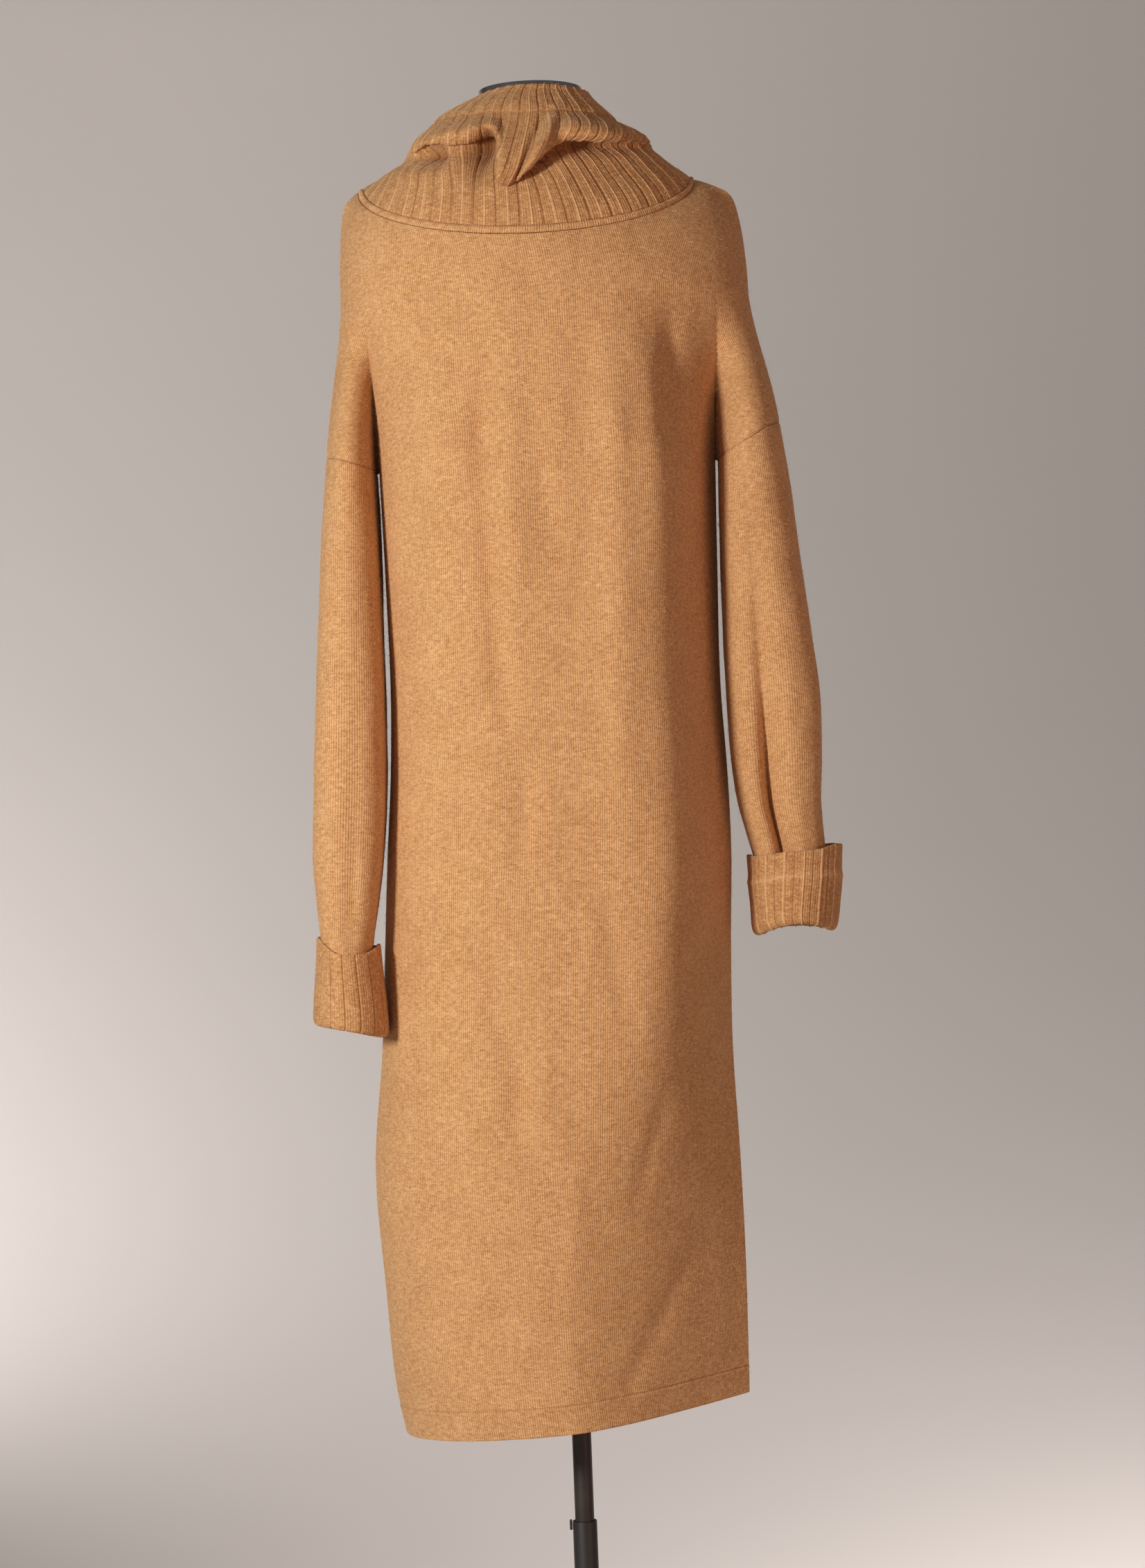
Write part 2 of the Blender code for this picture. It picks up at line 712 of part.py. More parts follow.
def make_form(finish):
    """The limbless torso, closed at the neck and below the hips."""
    tool = bmesh.new()
    rings = []
    for row in FORM:
        ring = []
        for side in range(FORM_SIDES):
            angle = 2 * math.pi * side / FORM_SIDES
            depth = row.front if math.sin(angle) < 0 else row.back
            x = row.half_width * math.cos(angle)
            ring.append(tool.verts.new((x * MM, depth * math.sin(angle) * MM, row.z * MM)))
        rings.append(ring)
    for low, high in zip(rings, rings[1:]):
        for side in range(FORM_SIDES):
            beside = (side + 1) % FORM_SIDES
            tool.faces.new((low[side], low[beside], high[beside], high[side]))
    tool.faces.new(rings[0][::-1])
    tool.faces.new(rings[-1])
    bmesh.ops.recalc_face_normals(tool, faces=tool.faces)
    mesh = bpy.data.meshes.new("form_torso")
    tool.to_mesh(mesh)
    tool.free()
    add_object("form_torso", mesh, finish)


def make_stand(chrome, tube, black):
    low = FORM_TOP + SEAM_GAP
    cap = (
        (0, low),
        (CAP_RADIUS - CAP_EDGE, low),
        (CAP_RADIUS, low + CAP_EDGE),
        (CAP_RADIUS, CAP_TOP - CAP_EDGE),
        (CAP_RADIUS - CAP_EDGE, CAP_TOP),
        (CAP_RADIUS - CAP_RIM, CAP_TOP),
        (CAP_RADIUS - CAP_RIM - CAP_RECESS, CAP_TOP - CAP_RECESS),
        (0, CAP_TOP - CAP_RECESS),
    )
    lathe("neck_cap", cap, 40, chrome)
    top = FORM_BOTTOM - SEAM_GAP
    bottom = BASE_HEIGHT + TUBE_OVERLAP
    inner = ((0, bottom), (INNER_TUBE_RADIUS, bottom), (INNER_TUBE_RADIUS, top), (0, top))
    lathe("inner_tube", inner, TUBE_SIDES, tube)
    hollow = OUTER_TUBE_RADIUS - OUTER_TUBE_WALL
    foot = BASE_HEIGHT + SEAM_GAP
    outer = (
        (hollow, foot),
        (OUTER_TUBE_RADIUS, foot),
        (OUTER_TUBE_RADIUS, OUTER_TUBE_TOP - TUBE_EDGE),
        (OUTER_TUBE_RADIUS - TUBE_EDGE, OUTER_TUBE_TOP),
        (hollow, OUTER_TUBE_TOP),
    )
    lathe("outer_tube", outer, TUBE_SIDES, black)
    bore = OUTER_TUBE_RADIUS + SEAM_GAP
    hub = (
        (0, 0),
        (BASE_RADIUS - 2, 0),
        (BASE_RADIUS, 2),
        (BASE_RADIUS, BASE_HEIGHT - 3),
        (BASE_RADIUS - 4, BASE_HEIGHT),
        (BASE_HUB_RADIUS, BASE_HEIGHT + 1),
        (BASE_HUB_RADIUS - 1, BASE_HUB_HEIGHT - 1),
        (BASE_HUB_RADIUS - 3, BASE_HUB_HEIGHT),
        (bore, BASE_HUB_HEIGHT),
        (bore, BASE_HEIGHT),
        (0, BASE_HEIGHT),
    )
    lathe("stand_base", hub, 48, black)
    make_clip(black)


def make_clip(finish):
    """The small spring catch on the left of the outer tube's mouth."""
    bpy.ops.mesh.primitive_cube_add(size=1)
    clip = bpy.context.active_object
    clip.name = "tube_clip"
    clip.data.name = "tube_clip"
    clip.scale = (2.4 * MM, 5.0 * MM, 9.0 * MM)
    offset = OUTER_TUBE_RADIUS + 1.2 + SEAM_GAP
    clip.location = (-offset * MM, 0, (OUTER_TUBE_TOP - 3.5) * MM)
    bpy.ops.object.transform_apply(location=True, rotation=False, scale=True)
    bevel = clip.modifiers.new("edges", "BEVEL")
    bevel.width = 0.6 * MM
    bevel.segments = 2
    clip.data.materials.append(finish)


def main():
    for obj in list(bpy.data.objects):
        bpy.data.objects.remove(obj, do_unlink=True)
    knit = material("camel_knit", (0.56, 0.31, 0.13), 0.95)
    rib = material("camel_rib", (0.54, 0.29, 0.12), 0.95)
    make_body_and_sleeves(knit)
    make_cuff("cuff_left", LEFT_CUFF, rib)
    make_cuff("cuff_right", RIGHT_CUFF, rib)
    make_binding(knit)
    make_collar(rib)
    make_form(material("form_cover", (0.06, 0.055, 0.05), 0.8))
    make_stand(
        material("polished_cap", (0.62, 0.62, 0.63), 0.18, 1.0),
        material("tube_grey", (0.035, 0.03, 0.028), 0.45, 0.6),
        material("stand_black", (0.015, 0.013, 0.012), 0.5, 0.2),
    )


main()
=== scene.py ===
"""Looks of a sweater dress with a slouchy rib collar, on a limbless dress form and its stand.

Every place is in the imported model's frame: metres, +Z up, the front facing -Y. The tables are in
millimetres and follow those of the CAD, so each knitted piece lies where its solid does. Left and
right are as seen by someone who faces the front.
"""

import sys

import json
import logging
import math
from dataclasses import dataclass, field
from enum import Enum
from typing import Callable, NamedTuple

import bmesh
import bpy
import numpy as np
from mathutils import Matrix, Vector

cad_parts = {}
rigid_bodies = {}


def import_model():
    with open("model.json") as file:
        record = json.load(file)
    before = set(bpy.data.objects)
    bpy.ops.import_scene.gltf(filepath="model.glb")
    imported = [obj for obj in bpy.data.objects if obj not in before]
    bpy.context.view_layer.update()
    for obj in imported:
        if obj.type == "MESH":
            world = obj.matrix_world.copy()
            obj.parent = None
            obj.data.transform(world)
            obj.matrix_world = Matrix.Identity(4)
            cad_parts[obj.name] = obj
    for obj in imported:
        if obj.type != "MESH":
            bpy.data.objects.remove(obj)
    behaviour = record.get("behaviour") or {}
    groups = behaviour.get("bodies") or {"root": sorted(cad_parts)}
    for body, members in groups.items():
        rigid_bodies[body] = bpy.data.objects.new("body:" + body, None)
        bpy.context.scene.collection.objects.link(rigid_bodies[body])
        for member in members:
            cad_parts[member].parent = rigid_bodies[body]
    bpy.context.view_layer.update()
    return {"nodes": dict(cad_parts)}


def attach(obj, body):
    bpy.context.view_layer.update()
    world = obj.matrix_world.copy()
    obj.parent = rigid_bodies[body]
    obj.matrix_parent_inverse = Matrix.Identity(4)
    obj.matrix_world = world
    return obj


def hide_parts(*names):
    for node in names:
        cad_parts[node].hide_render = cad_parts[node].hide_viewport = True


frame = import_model()

LOG = logging.getLogger("sweater_dress")
MM = 0.001
CLOTH = 2.5  # one layer of the knit
DOUBLED = 4.6  # a turned-up hem or band
WAVES = 1.25  # of the unevenness of the body's faces


# ---------------------------------------------------------------- tables


class BodyRow(NamedTuple):
    """A level section of the body below the arms: its edges and the depth of each face."""

    z: float
    left: float
    right: float
    front: float
    back: float
    corner: float  # share of the way to the right edge where the front turns
    soft: float  # how gently it turns


class SleeveRow(NamedTuple):
    """A section of a sleeve: heights and edges of its outer and inner sides, and its depth."""

    z_outer: float
    z_inner: float
    outer: float
    inner: float
    front: float
    back: float
    crease: float  # how deep the crease down its faces is


class CuffRow(NamedTuple):
    """A ring of a cuff, from the end inside the sleeve, down round the fold and up outside."""

    z_outer: float
    z_inner: float
    z_front: float
    outer: float
    inner: float
    front: float
    back: float


class CollarRow(NamedTuple):
    """A ring of the collar, from its seam up: edges, depths, heights, and the roll's beak."""

    left: float
    right: float
    front: float
    back: float
    z_left: float
    z_right: float
    z_front: float
    z_back: float
    drop: float  # of the beak, down
    reach: float  # of the beak, forwards
    shift: float  # of the beak, sideways


class Crush(NamedTuple):
    """A dent (negative) or swelling of the collar's front, by sideways place and row."""

    x: float
    row: float
    width: float
    rows: float  # half its height, in rows
    slant: float  # sideways for each row
    height: float
    rise: float  # how far it pushes the cloth up


class Fold(NamedTuple):
    """A soft trough (negative) or ridge, from its top to its bottom."""

    x_top: float
    z_top: float
    x_low: float
    z_low: float
    width: float
    height: float


BODY = (
    BodyRow(521, -159.5, 155.5, 113, 108, 0.16, 0.20),
    BodyRow(548, -165, 156, 114, 109, 0.18, 0.20),
    BodyRow(653, -174, 157, 116, 111, 0.32, 0.20),
    BodyRow(756, -179, 155.5, 117, 112, 0.50, 0.18),
    BodyRow(858, -169, 152.5, 117, 111, 0.62, 0.11),
    BodyRow(950, -163, 154.5, 117, 109, 0.66, 0.07),
    BodyRow(1040, -157, 158, 117, 107, 0.67, 0.06),
    BodyRow(1110, -151.5, 157, 117, 106, 0.67, 0.06),
    BodyRow(1180, -148.5, 154, 118, 105, 0.67, 0.06),
    BodyRow(1290, -149, 155, 119, 104, 0.67, 0.06),
    BodyRow(1395, -151, 157, 120, 103, 0.70, 0.05),
)
LEFT_SLEEVE = (
    SleeveRow(1406, 1392, -199, -155.5, 66, 66, 0),
    SleeveRow(1330, 1325, -206, -154.5, 71, 56, 0),
    SleeveRow(1250, 1250, -211, -154.5, 78, 39, 0),
    SleeveRow(1180, 1180, -215.5, -154.5, 84, 24, 1),
    SleeveRow(1110, 1110, -219.5, -156, 87, 11, 2),
    SleeveRow(1045, 1045, -222.5, -160.5, 88, 1, 3),
    SleeveRow(1000, 1000, -220.5, -167, 86, -4, 3),
    SleeveRow(965, 962, -217.5, -173, 84, -12, 2),
    SleeveRow(945, 941, -215.5, -175.5, 82, -14, 0),
)
RIGHT_SLEEVE = (
    SleeveRow(1424, 1393, 217, 161.5, 66, 66, 0),
    SleeveRow(1350, 1340, 226, 161, 66, 63, 2),
    SleeveRow(1290, 1285, 232, 160.5, 64, 59, 4),
    SleeveRow(1235, 1232, 238, 160.5, 62, 55, 6),
    SleeveRow(1175, 1175, 243.5, 161, 58, 49, 9),
    SleeveRow(1120, 1120, 243.5, 163, 54, 43, 12),
    SleeveRow(1075, 1075, 241.5, 168.5, 50, 38, 14),
    SleeveRow(1036, 1030, 244, 180, 44, 33, 12),
    SleeveRow(1018, 1012, 244, 184, 42, 31, 5),
)
LEFT_CUFF = (
    CuffRow(940.5, 936.5, 937.5, -215.5, -175.5, 82, -14),
    CuffRow(913, 906, 910, -217.5, -171.5, 83, -13),
    CuffRow(895, 882.5, 890, -219.5, -169.5, 83, -13),
    CuffRow(891, 878, 886.5, -223.5, -165.5, 87, -9),
    CuffRow(895, 882.5, 890, -227.5, -161.8, 91, -5),
    CuffRow(914, 906.5, 910.5, -226.5, -162.8, 91, -5),
    CuffRow(941, 933.5, 932, -224, -165, 90, -1),
    CuffRow(970.5, 960.5, 954, -222, -167, 89, 1),
)
RIGHT_CUFF = (
    CuffRow(1014, 1007.5, 1010, 244, 184, 42, 31),
    CuffRow(992, 988, 994, 243, 185, 43, 34),
    CuffRow(964, 962, 972, 243, 186, 43, 35),
    CuffRow(958, 956, 966, 248, 181.5, 47, 39),
    CuffRow(963, 961, 971, 252.5, 177, 51, 43),
    CuffRow(985, 983, 988, 256, 176, 51, 43),
    CuffRow(1008, 1004, 1009, 259, 174.5, 51, 43),
    CuffRow(1036, 1028, 1031, 261, 173.5, 50, 42),
)
COLLAR = (
    CollarRow(-156, 143, 110.5, 85, 1655.5, 1655.5, 1599.5, 1650, 0, 0, 0),
    CollarRow(-148, 136, 107, 82, 1660, 1661, 1618, 1658, 0, -2, 0),
    CollarRow(-138, 127, 99, 78, 1665.5, 1667, 1640, 1665, 0, -4, 0),
    CollarRow(-128, 119, 87, 72, 1670.5, 1673, 1659, 1670, 4, -5, -2),
    CollarRow(-119, 112, 74, 64, 1676, 1679, 1674, 1676, 14, 1, -8),
    CollarRow(-115, 109, 75, 65, 1681.5, 1684.5, 1685, 1683, 31, 13, -14),
    CollarRow(-113.5, 107.5, 90, 72, 1684, 1686.5, 1680, 1685, 42, 17, -19),
    CollarRow(-110, 105, 97, 75, 1691, 1691.5, 1688, 1692, 36, 13, -14),
    CollarRow(-101, 94, 87, 70, 1702, 1698, 1699, 1703, 18, 6, -6),
    CollarRow(-90, 80, 75, 64, 1712, 1706, 1708.5, 1712, 2, 1, 0),
    CollarRow(-77, 68, 65, 58, 1720, 1717, 1720, 1721, 0, 0, 0),
    CollarRow(-63, 57.5, 56, 54.5, 1726, 1727.5, 1729.5, 1729.5, 0, 0, 0),
    CollarRow(-52, 52, 52, 52, 1729.5, 1735.5, 1736.5, 1736, 0, 0, 0),
)
SLEEVE_COLUMNS = 8  # the CAD's columns across one face, which place the creases
DEEPEST_CREASE = 14  # of the sleeve tables
FRONT_FOLDS = (
    Fold(-55, 1425, -45, 1160, 11, -7),
    Fold(-32, 1400, -30, 1270, 14, 3),
    Fold(-5, 1410, 6, 1285, 12, -2.5),
    Fold(66, 1460, 62, 1040, 17, 6),
    Fold(-96, 1470, -110, 1110, 20, 4),
    Fold(117, 1520, 114, 1370, 11, -11),
    Fold(143, 1490, 141, 1415, 8, 3),
    Fold(-26, 1125, -33, 1020, 12, -4),
    Fold(-74, 985, -34, 765, 12, -3.5),
    Fold(36, 1010, 56, 885, 12, -3),
    Fold(-33, 895, -49, 785, 11, -3),
    Fold(88, 820, 60, 730, 9, -4),
    Fold(104, 665, 40, 545, 12, -4),
    Fold(5, 765, 1, 640, 10, 2.5),
    Fold(147, 940, 132, 530, 12, 3),
)
BACK_FOLDS = (
    Fold(-74, 1430, -66, 1180, 18, -7),
    Fold(10, 1420, 4, 1130, 20, 5),
    Fold(82, 1440, 72, 1230, 16, -6),
    Fold(-112, 1370, -104, 1120, 15, 3),
    Fold(-30, 1090, -44, 860, 16, -5),
    Fold(58, 980, 66, 740, 18, 4),
    Fold(104, 800, 88, 640, 12, -3),
    Fold(-70, 720, -58, 590, 14, 3),
)

CRUSHES = (
    Crush(-64, 3.9, 7, 1.2, 6, 8, 0),
    Crush(-90, 3.9, 12, 0.8, 0, -15, 0),
    Crush(-45, 4.0, 10, 1.5, 2, -17, 0),
    Crush(-42, 6.0, 12, 1.4, 0, -13, 9),
    Crush(-90, 5.6, 13, 1.0, 0, 5, 4),
    Crush(1, 6.4, 4, 1.8, 5, -9, 0),
    Crush(-9, 5.6, 3.5, 1.2, 3, -7, 0),
    Crush(-15, 6.2, 4, 1.2, 2, 3, 0),
    Crush(14, 7.0, 5, 1.9, 4, 7, 0),
    Crush(27, 7.4, 6, 1.0, 3, -3, 0),
    Crush(-26, 7.8, 6, 0.9, -3, -5, 0),
    Crush(58, 4.4, 34, 0.9, 0, -10, 0),
    Crush(66, 6.4, 30, 0.8, 0, 4, -3),
    Crush(-72, 7.0, 28, 0.9, 0, 3, 0),
    Crush(-100, 2.6, 40, 0.6, 0, 3, 0),
    Crush(70, 2.0, 40, 0.9, 0, -2.5, 0),
)


# ---------------------------------------------------------------- curves


def curve(knots: np.ndarray, values: np.ndarray, at: np.ndarray) -> np.ndarray:
    """Reads a table between its rows, on a smooth cubic.

    Args:
        knots: the rows' places, rising.
        values: one line of numbers for each row.
        at: the places to read.

    Returns:
        One line of numbers for each place.
    """
    slopes = np.gradient(values, knots, axis=0)
    k = np.clip(np.searchsorted(knots, at, side="right") - 1, 0, len(knots) - 2)
    span = (knots[k + 1] - knots[k])[:, None]
    t = ((at - knots[k])[:, None] / span).clip(0.0, 1.0)
    start = (2 * t**3 - 3 * t**2 + 1) * values[k] + (t**3 - 2 * t**2 + t) * span * slopes[k]
    end = (3 * t**2 - 2 * t**3) * values[k + 1] + (t**3 - t**2) * span * slopes[k + 1]
    return start + end


def read_rows(rows: tuple, at: np.ndarray) -> np.ndarray:
    """Reads a table of rings by fractional row number."""
    values = np.array(rows, float)
    return curve(np.arange(len(rows), dtype=float), values, at)


def bell(distance: np.ndarray, width: float) -> np.ndarray:
    """A smooth hump, 1 at its middle."""
    return np.exp(-((distance / width) ** 2))


def past(distance: np.ndarray, width: float) -> np.ndarray:
    """A smooth step, from 0 before a line to 1 after it."""
    return 1 / (1 + np.exp(-(distance / width).clip(-50, 50)))


def between(first: object, last: object, cosine: np.ndarray) -> np.ndarray:
    """Places from a first edge, where the cosine is 1, to a last one, where it is -1."""
    return (first + last) / 2 + (first - last) / 2 * cosine


def thinned(count: int, shares: tuple) -> np.ndarray:
    """The share of the full wall at each of a number of rows that thin towards both ends."""
    edge = np.minimum(np.arange(count), np.arange(count)[::-1])
    return np.array(shares)[edge.clip(0, len(shares) - 1)]


def fold_height(folds: tuple, x: np.ndarray, z: np.ndarray) -> np.ndarray:
    """How far the folds push the cloth out at each place on a face.

    Args:
        folds: the table of folds.
        x: sideways places.
        z: heights of the same places.

    Returns:
        The push in millimetres.
    """
    total = np.zeros_like(x)
    for fold in folds:
        share = (fold.z_top - z) / (fold.z_top - fold.z_low)
        middle = fold.x_top + (fold.x_low - fold.x_top) * share
        fade = np.exp(-((2 * share - 1) ** 4))
        total += fold.height * fade * bell(x - middle, fold.width)
    return total


def unevenness(x: np.ndarray, z: np.ndarray, seed: float) -> np.ndarray:
    """The slight waves that no length of knit is free of, from -1 to 1."""
    slow = np.sin(x / 19 + 1.3 * np.sin(z / 61 + seed) + seed) * np.sin(z / 83 + seed * 2)
    quick = np.sin(x / 9.5 + z / 37 + seed * 3) * np.sin(z / 29 - x / 51 + seed)
    bent = x + 4 * np.sin(z / 23 + seed)
    crumple = np.sin(bent / 4.6 + z / 41) * np.sin(z / 13 - x / 17 + seed * 5)
    return 0.6 * slow + 0.35 * quick + 0.2 * crumple


def rounded(distance: np.ndarray, radius: float) -> np.ndarray:
    """The share of a wall's thickness at a distance from its rounded edge."""
    thinnest = 0.02
    share = (1 - distance / radius).clip(0.0, 1.0)
    return np.sqrt(np.maximum(1 - share**2, thinnest))


def closed(front: np.ndarray, back: np.ndarray) -> np.ndarray:
    """Rows of rings from rows of front and back halves that share both ends."""
    return np.concatenate((front, back[:, -2:0:-1]), axis=1)


def normals_of(
    rings: np.ndarray, below: np.ndarray | None = None, above: np.ndarray | None = None
) -> np.ndarray:
    """Outward directions on rows of rings.

    Args:
        rings: rows of rings of points.
        below: the ring before the first row, if there is one.
        above: the ring after the last row, if there is one.

    Returns:
        A unit direction for each point.
    """
    first = rings[:1] if below is None else below[None]
    last = rings[-1:] if above is None else above[None]
    padded = np.concatenate((first, rings, last))
    up = padded[2:] - padded[:-2]
    around = np.roll(rings, -1, axis=1) - np.roll(rings, 1, axis=1)
    outward = np.cross(around, up)
    return outward / np.linalg.norm(outward, axis=2, keepdims=True)


# ---------------------------------------------------------------- cloth meshes

SHOWN = "shown_faces"  # how many of a new piece's faces are on its outer side


def lengths(points: np.ndarray, axis: int) -> np.ndarray:
    """Running length along rows or columns of points, from 0 at the first."""
    steps = np.linalg.norm(np.diff(points, axis=axis), axis=2)
    start = np.zeros_like(steps[:1] if axis == 0 else steps[:, :1])
    return np.concatenate((start, np.cumsum(steps, axis=axis)), axis=axis)


def from_middle(points: np.ndarray) -> np.ndarray:
    """Running length along rows of points, from 0 at the middle column."""
    along = lengths(points, 1)
    return along - along[:, along.shape[1] // 2][:, None]


def add_object(name: str, data: bpy.types.ID) -> bpy.types.Object:
    """Adds an object with its data to the scene."""
    made = bpy.data.objects.new(name, data)
    bpy.context.scene.collection.objects.link(made)
    return made


@dataclass
class ClothMesh:
    """A closed wall of cloth, gathered from grids of points and then built.

    Args:
        name: the piece's name.
    """

    name: str
    outer: list[np.ndarray] = field(default_factory=list)
    inner: list[np.ndarray] = field(default_factory=list)
    relief: list[np.ndarray] = field(default_factory=list)
    cells: list[np.ndarray] = field(default_factory=list)
    corners: list[np.ndarray] = field(default_factory=list)
    count: int = 0

    def add_points(
        self, outer: np.ndarray, inner: np.ndarray, relief: np.ndarray | None = None
    ) -> np.ndarray:
        """Adds a grid of points on both faces.

        Args:
            outer: rows of points of the face that shows.
            inner: the same of the face that is inside.
            relief: at each point, painted highlight above 0 and painted shade below 0, from -1 to 1.

        Returns:
            The grid's indices.
        """
        rows, columns = outer.shape[:2]
        index = np.arange(self.count, self.count + rows * columns).reshape(rows, columns)
        self.outer.append(outer.reshape(-1, 3))
        self.inner.append(inner.reshape(-1, 3))
        self.relief.append(np.zeros(rows * columns) if relief is None else relief.reshape(-1))
        self.count += rows * columns
        return index

    def add_cells(self, index: np.ndarray, uv: np.ndarray) -> None:
        """Adds the four-sided cells of a grid of indices, with its knit coordinates."""
        for store, grid in ((self.cells, index), (self.corners, uv)):
            four = (grid[:-1, :-1], grid[:-1, 1:], grid[1:, 1:], grid[1:, :-1])
            made = np.stack(four, axis=2)
            store.append(made.reshape(-1, *made.shape[2:]))

    def build(self, finish: bpy.types.Material) -> bpy.types.Object:
        """Makes the object, its rims closed and its faces turned outwards.

        Args:
            finish: the material of the piece.

        Returns:
            The new object.
        """
        cells = np.concatenate(self.cells)
        corners = np.concatenate(self.corners)
        start = cells.reshape(-1)
        end = np.roll(cells, -1, axis=1).reshape(-1)
        key = np.minimum(start, end) * self.count + np.maximum(start, end)
        _, where, times = np.unique(key, return_inverse=True, return_counts=True)
        rim = times[where] == 1
        rim_start, rim_end = start[rim], end[rim]
        uv_start = corners.reshape(-1, 2)[rim]
        uv_end = np.roll(corners, -1, axis=1).reshape(-1, 2)[rim]
        shift = self.count
        rims = np.stack((rim_end, rim_start, rim_start + shift, rim_end + shift), axis=1)
        rim_uv = np.stack((uv_end, uv_start, uv_start, uv_end), axis=1)
        faces = np.concatenate((cells, cells[:, ::-1] + shift, rims))
        face_uv = np.concatenate((corners, corners[:, ::-1], rim_uv))
        points = np.concatenate(self.outer + self.inner) * MM
        relief = np.concatenate(self.relief)
        relief = np.concatenate((relief, -relief))
        used, place = np.unique(faces, return_inverse=True)
        mesh = bpy.data.meshes.new(self.name)
        mesh.from_pydata(points[used].tolist(), [], place.reshape(-1, 4).tolist())
        layer = mesh.uv_layers.new(name="knit")
        layer.data.foreach_set("uv", (face_uv * MM).astype(np.float32).reshape(-1))
        # A point attribute of painted highlight above 0 and painted shade below 0; the inner face
        # gets the opposite.
        raised = mesh.attributes.new("relief", "FLOAT", "POINT")
        raised.data.foreach_set("value", relief[used].astype(np.float32))
        tool = bmesh.new()
        tool.from_mesh(mesh)
        bmesh.ops.recalc_face_normals(tool, faces=tool.faces)
        tool.to_mesh(mesh)
        tool.free()
        mesh.shade_smooth()
        mesh.materials.append(finish)
        obj = add_object(self.name, mesh)
        obj[SHOWN] = len(cells)
        return obj


def tube_piece(
    name: str,
    rings: np.ndarray,
    thickness: np.ndarray,
    lift: np.ndarray,
    relief: np.ndarray,
    finish: bpy.types.Material,
    outward: np.ndarray | None = None,
) -> bpy.types.Object:
    """A tube of cloth open at both ends.

    Args:
        name: the piece's name.
        rings: rows of rings of its middle surface.
        thickness: the wall at each row.
        lift: how far both faces stand off the middle surface, such as by a rib.
        relief: at each point, painted highlight above 0 and painted shade below 0, for the finish.
        finish: the material.
        outward: directions at each point, worked out from the rings if not given.

    Returns:
        The new object.
    """
    outward = normals_of(rings) if outward is None else outward
    middle = rings + outward * lift[..., None]
    half = outward * thickness[:, None, None] / 2
    made = ClothMesh(name)
    index = made.add_points(middle + half, middle - half, relief)
    index = np.concatenate((index, index[:, :1]), axis=1)
    ring_closed = np.concatenate((rings, rings[:, :1]), axis=1)
    u = lengths(ring_closed, 1)
    v = np.broadcast_to(lengths(ring_closed, 0).mean(axis=1, keepdims=True), u.shape)
    u = np.broadcast_to(u.mean(axis=0), u.shape)
    made.add_cells(index, np.stack((u, v), axis=2))
    return made.build(finish)


# ---------------------------------------------------------------- materials


@dataclass
class NodeMaker:
    """Adds nodes to one material, each linked to what feeds it."""

    tree: bpy.types.NodeTree

    def feed(self, node: bpy.types.Node, inputs: dict) -> None:
        """Fills sockets of a node.

        Args:
            node: the node.
            inputs: socket names or numbers, each with a value or another socket.
        """
        for key, value in inputs.items():
            if isinstance(value, bpy.types.NodeSocket):
                self.tree.links.new(value, node.inputs[key])
            else:
                node.inputs[key].default_value = value

    def node(self, kind: str, inputs: dict | None = None, **settings) -> bpy.types.Node:
        """Adds a node.

        Args:
            kind: the node's type name without ShaderNode.
            inputs: what its sockets get, as feed takes it.
            settings: the node's own properties.

        Returns:
            The node.
        """
        made = self.tree.nodes.new("ShaderNode" + kind)
        for key, value in settings.items():
            setattr(made, key, value)
        self.feed(made, inputs or {})
        return made

    def maths(self, operation: str, *values: object) -> bpy.types.NodeSocket:
        """The result of one arithmetic step."""
        return self.node("Math", dict(enumerate(values)), operation=operation).outputs[0]

    def noise(
        self, place: bpy.types.NodeSocket, scale: float, detail: float = 2.0
    ) -> bpy.types.NodeSocket:
        """A cloudy pattern around one half."""
        inputs = {"Vector": place, "Scale": scale, "Detail": detail, "Roughness": 0.55}
        return self.node("TexNoise", inputs).outputs["Fac"]

    def blend(self, share: object, first: object, second: object) -> bpy.types.NodeSocket:
        """Mixes two colours."""
        made = self.node("Mix", data_type="RGBA")
        self.feed(made, {0: share, 6: first, 7: second})
        return made.outputs[2]

    def bump(
        self, height: bpy.types.NodeSocket, strength: float, distance: float
    ) -> bpy.types.NodeSocket:
        """Directions that make the surface look raised by a pattern."""
        inputs = {"Strength": strength, "Distance": distance, "Height": height}
        return self.node("Bump", inputs).outputs[0]

    def object_place(self) -> bpy.types.NodeSocket:
        """Places in the piece's own space."""
        return self.node("TexCoord").outputs["Object"]


def new_material(name: str) -> tuple[bpy.types.Material, NodeMaker, bpy.types.Node]:
    """A material with its node maker and its shader."""
    made = bpy.data.materials.new(name)
    made.use_nodes = True
    return made, NodeMaker(made.node_tree), made.node_tree.nodes["Principled BSDF"]


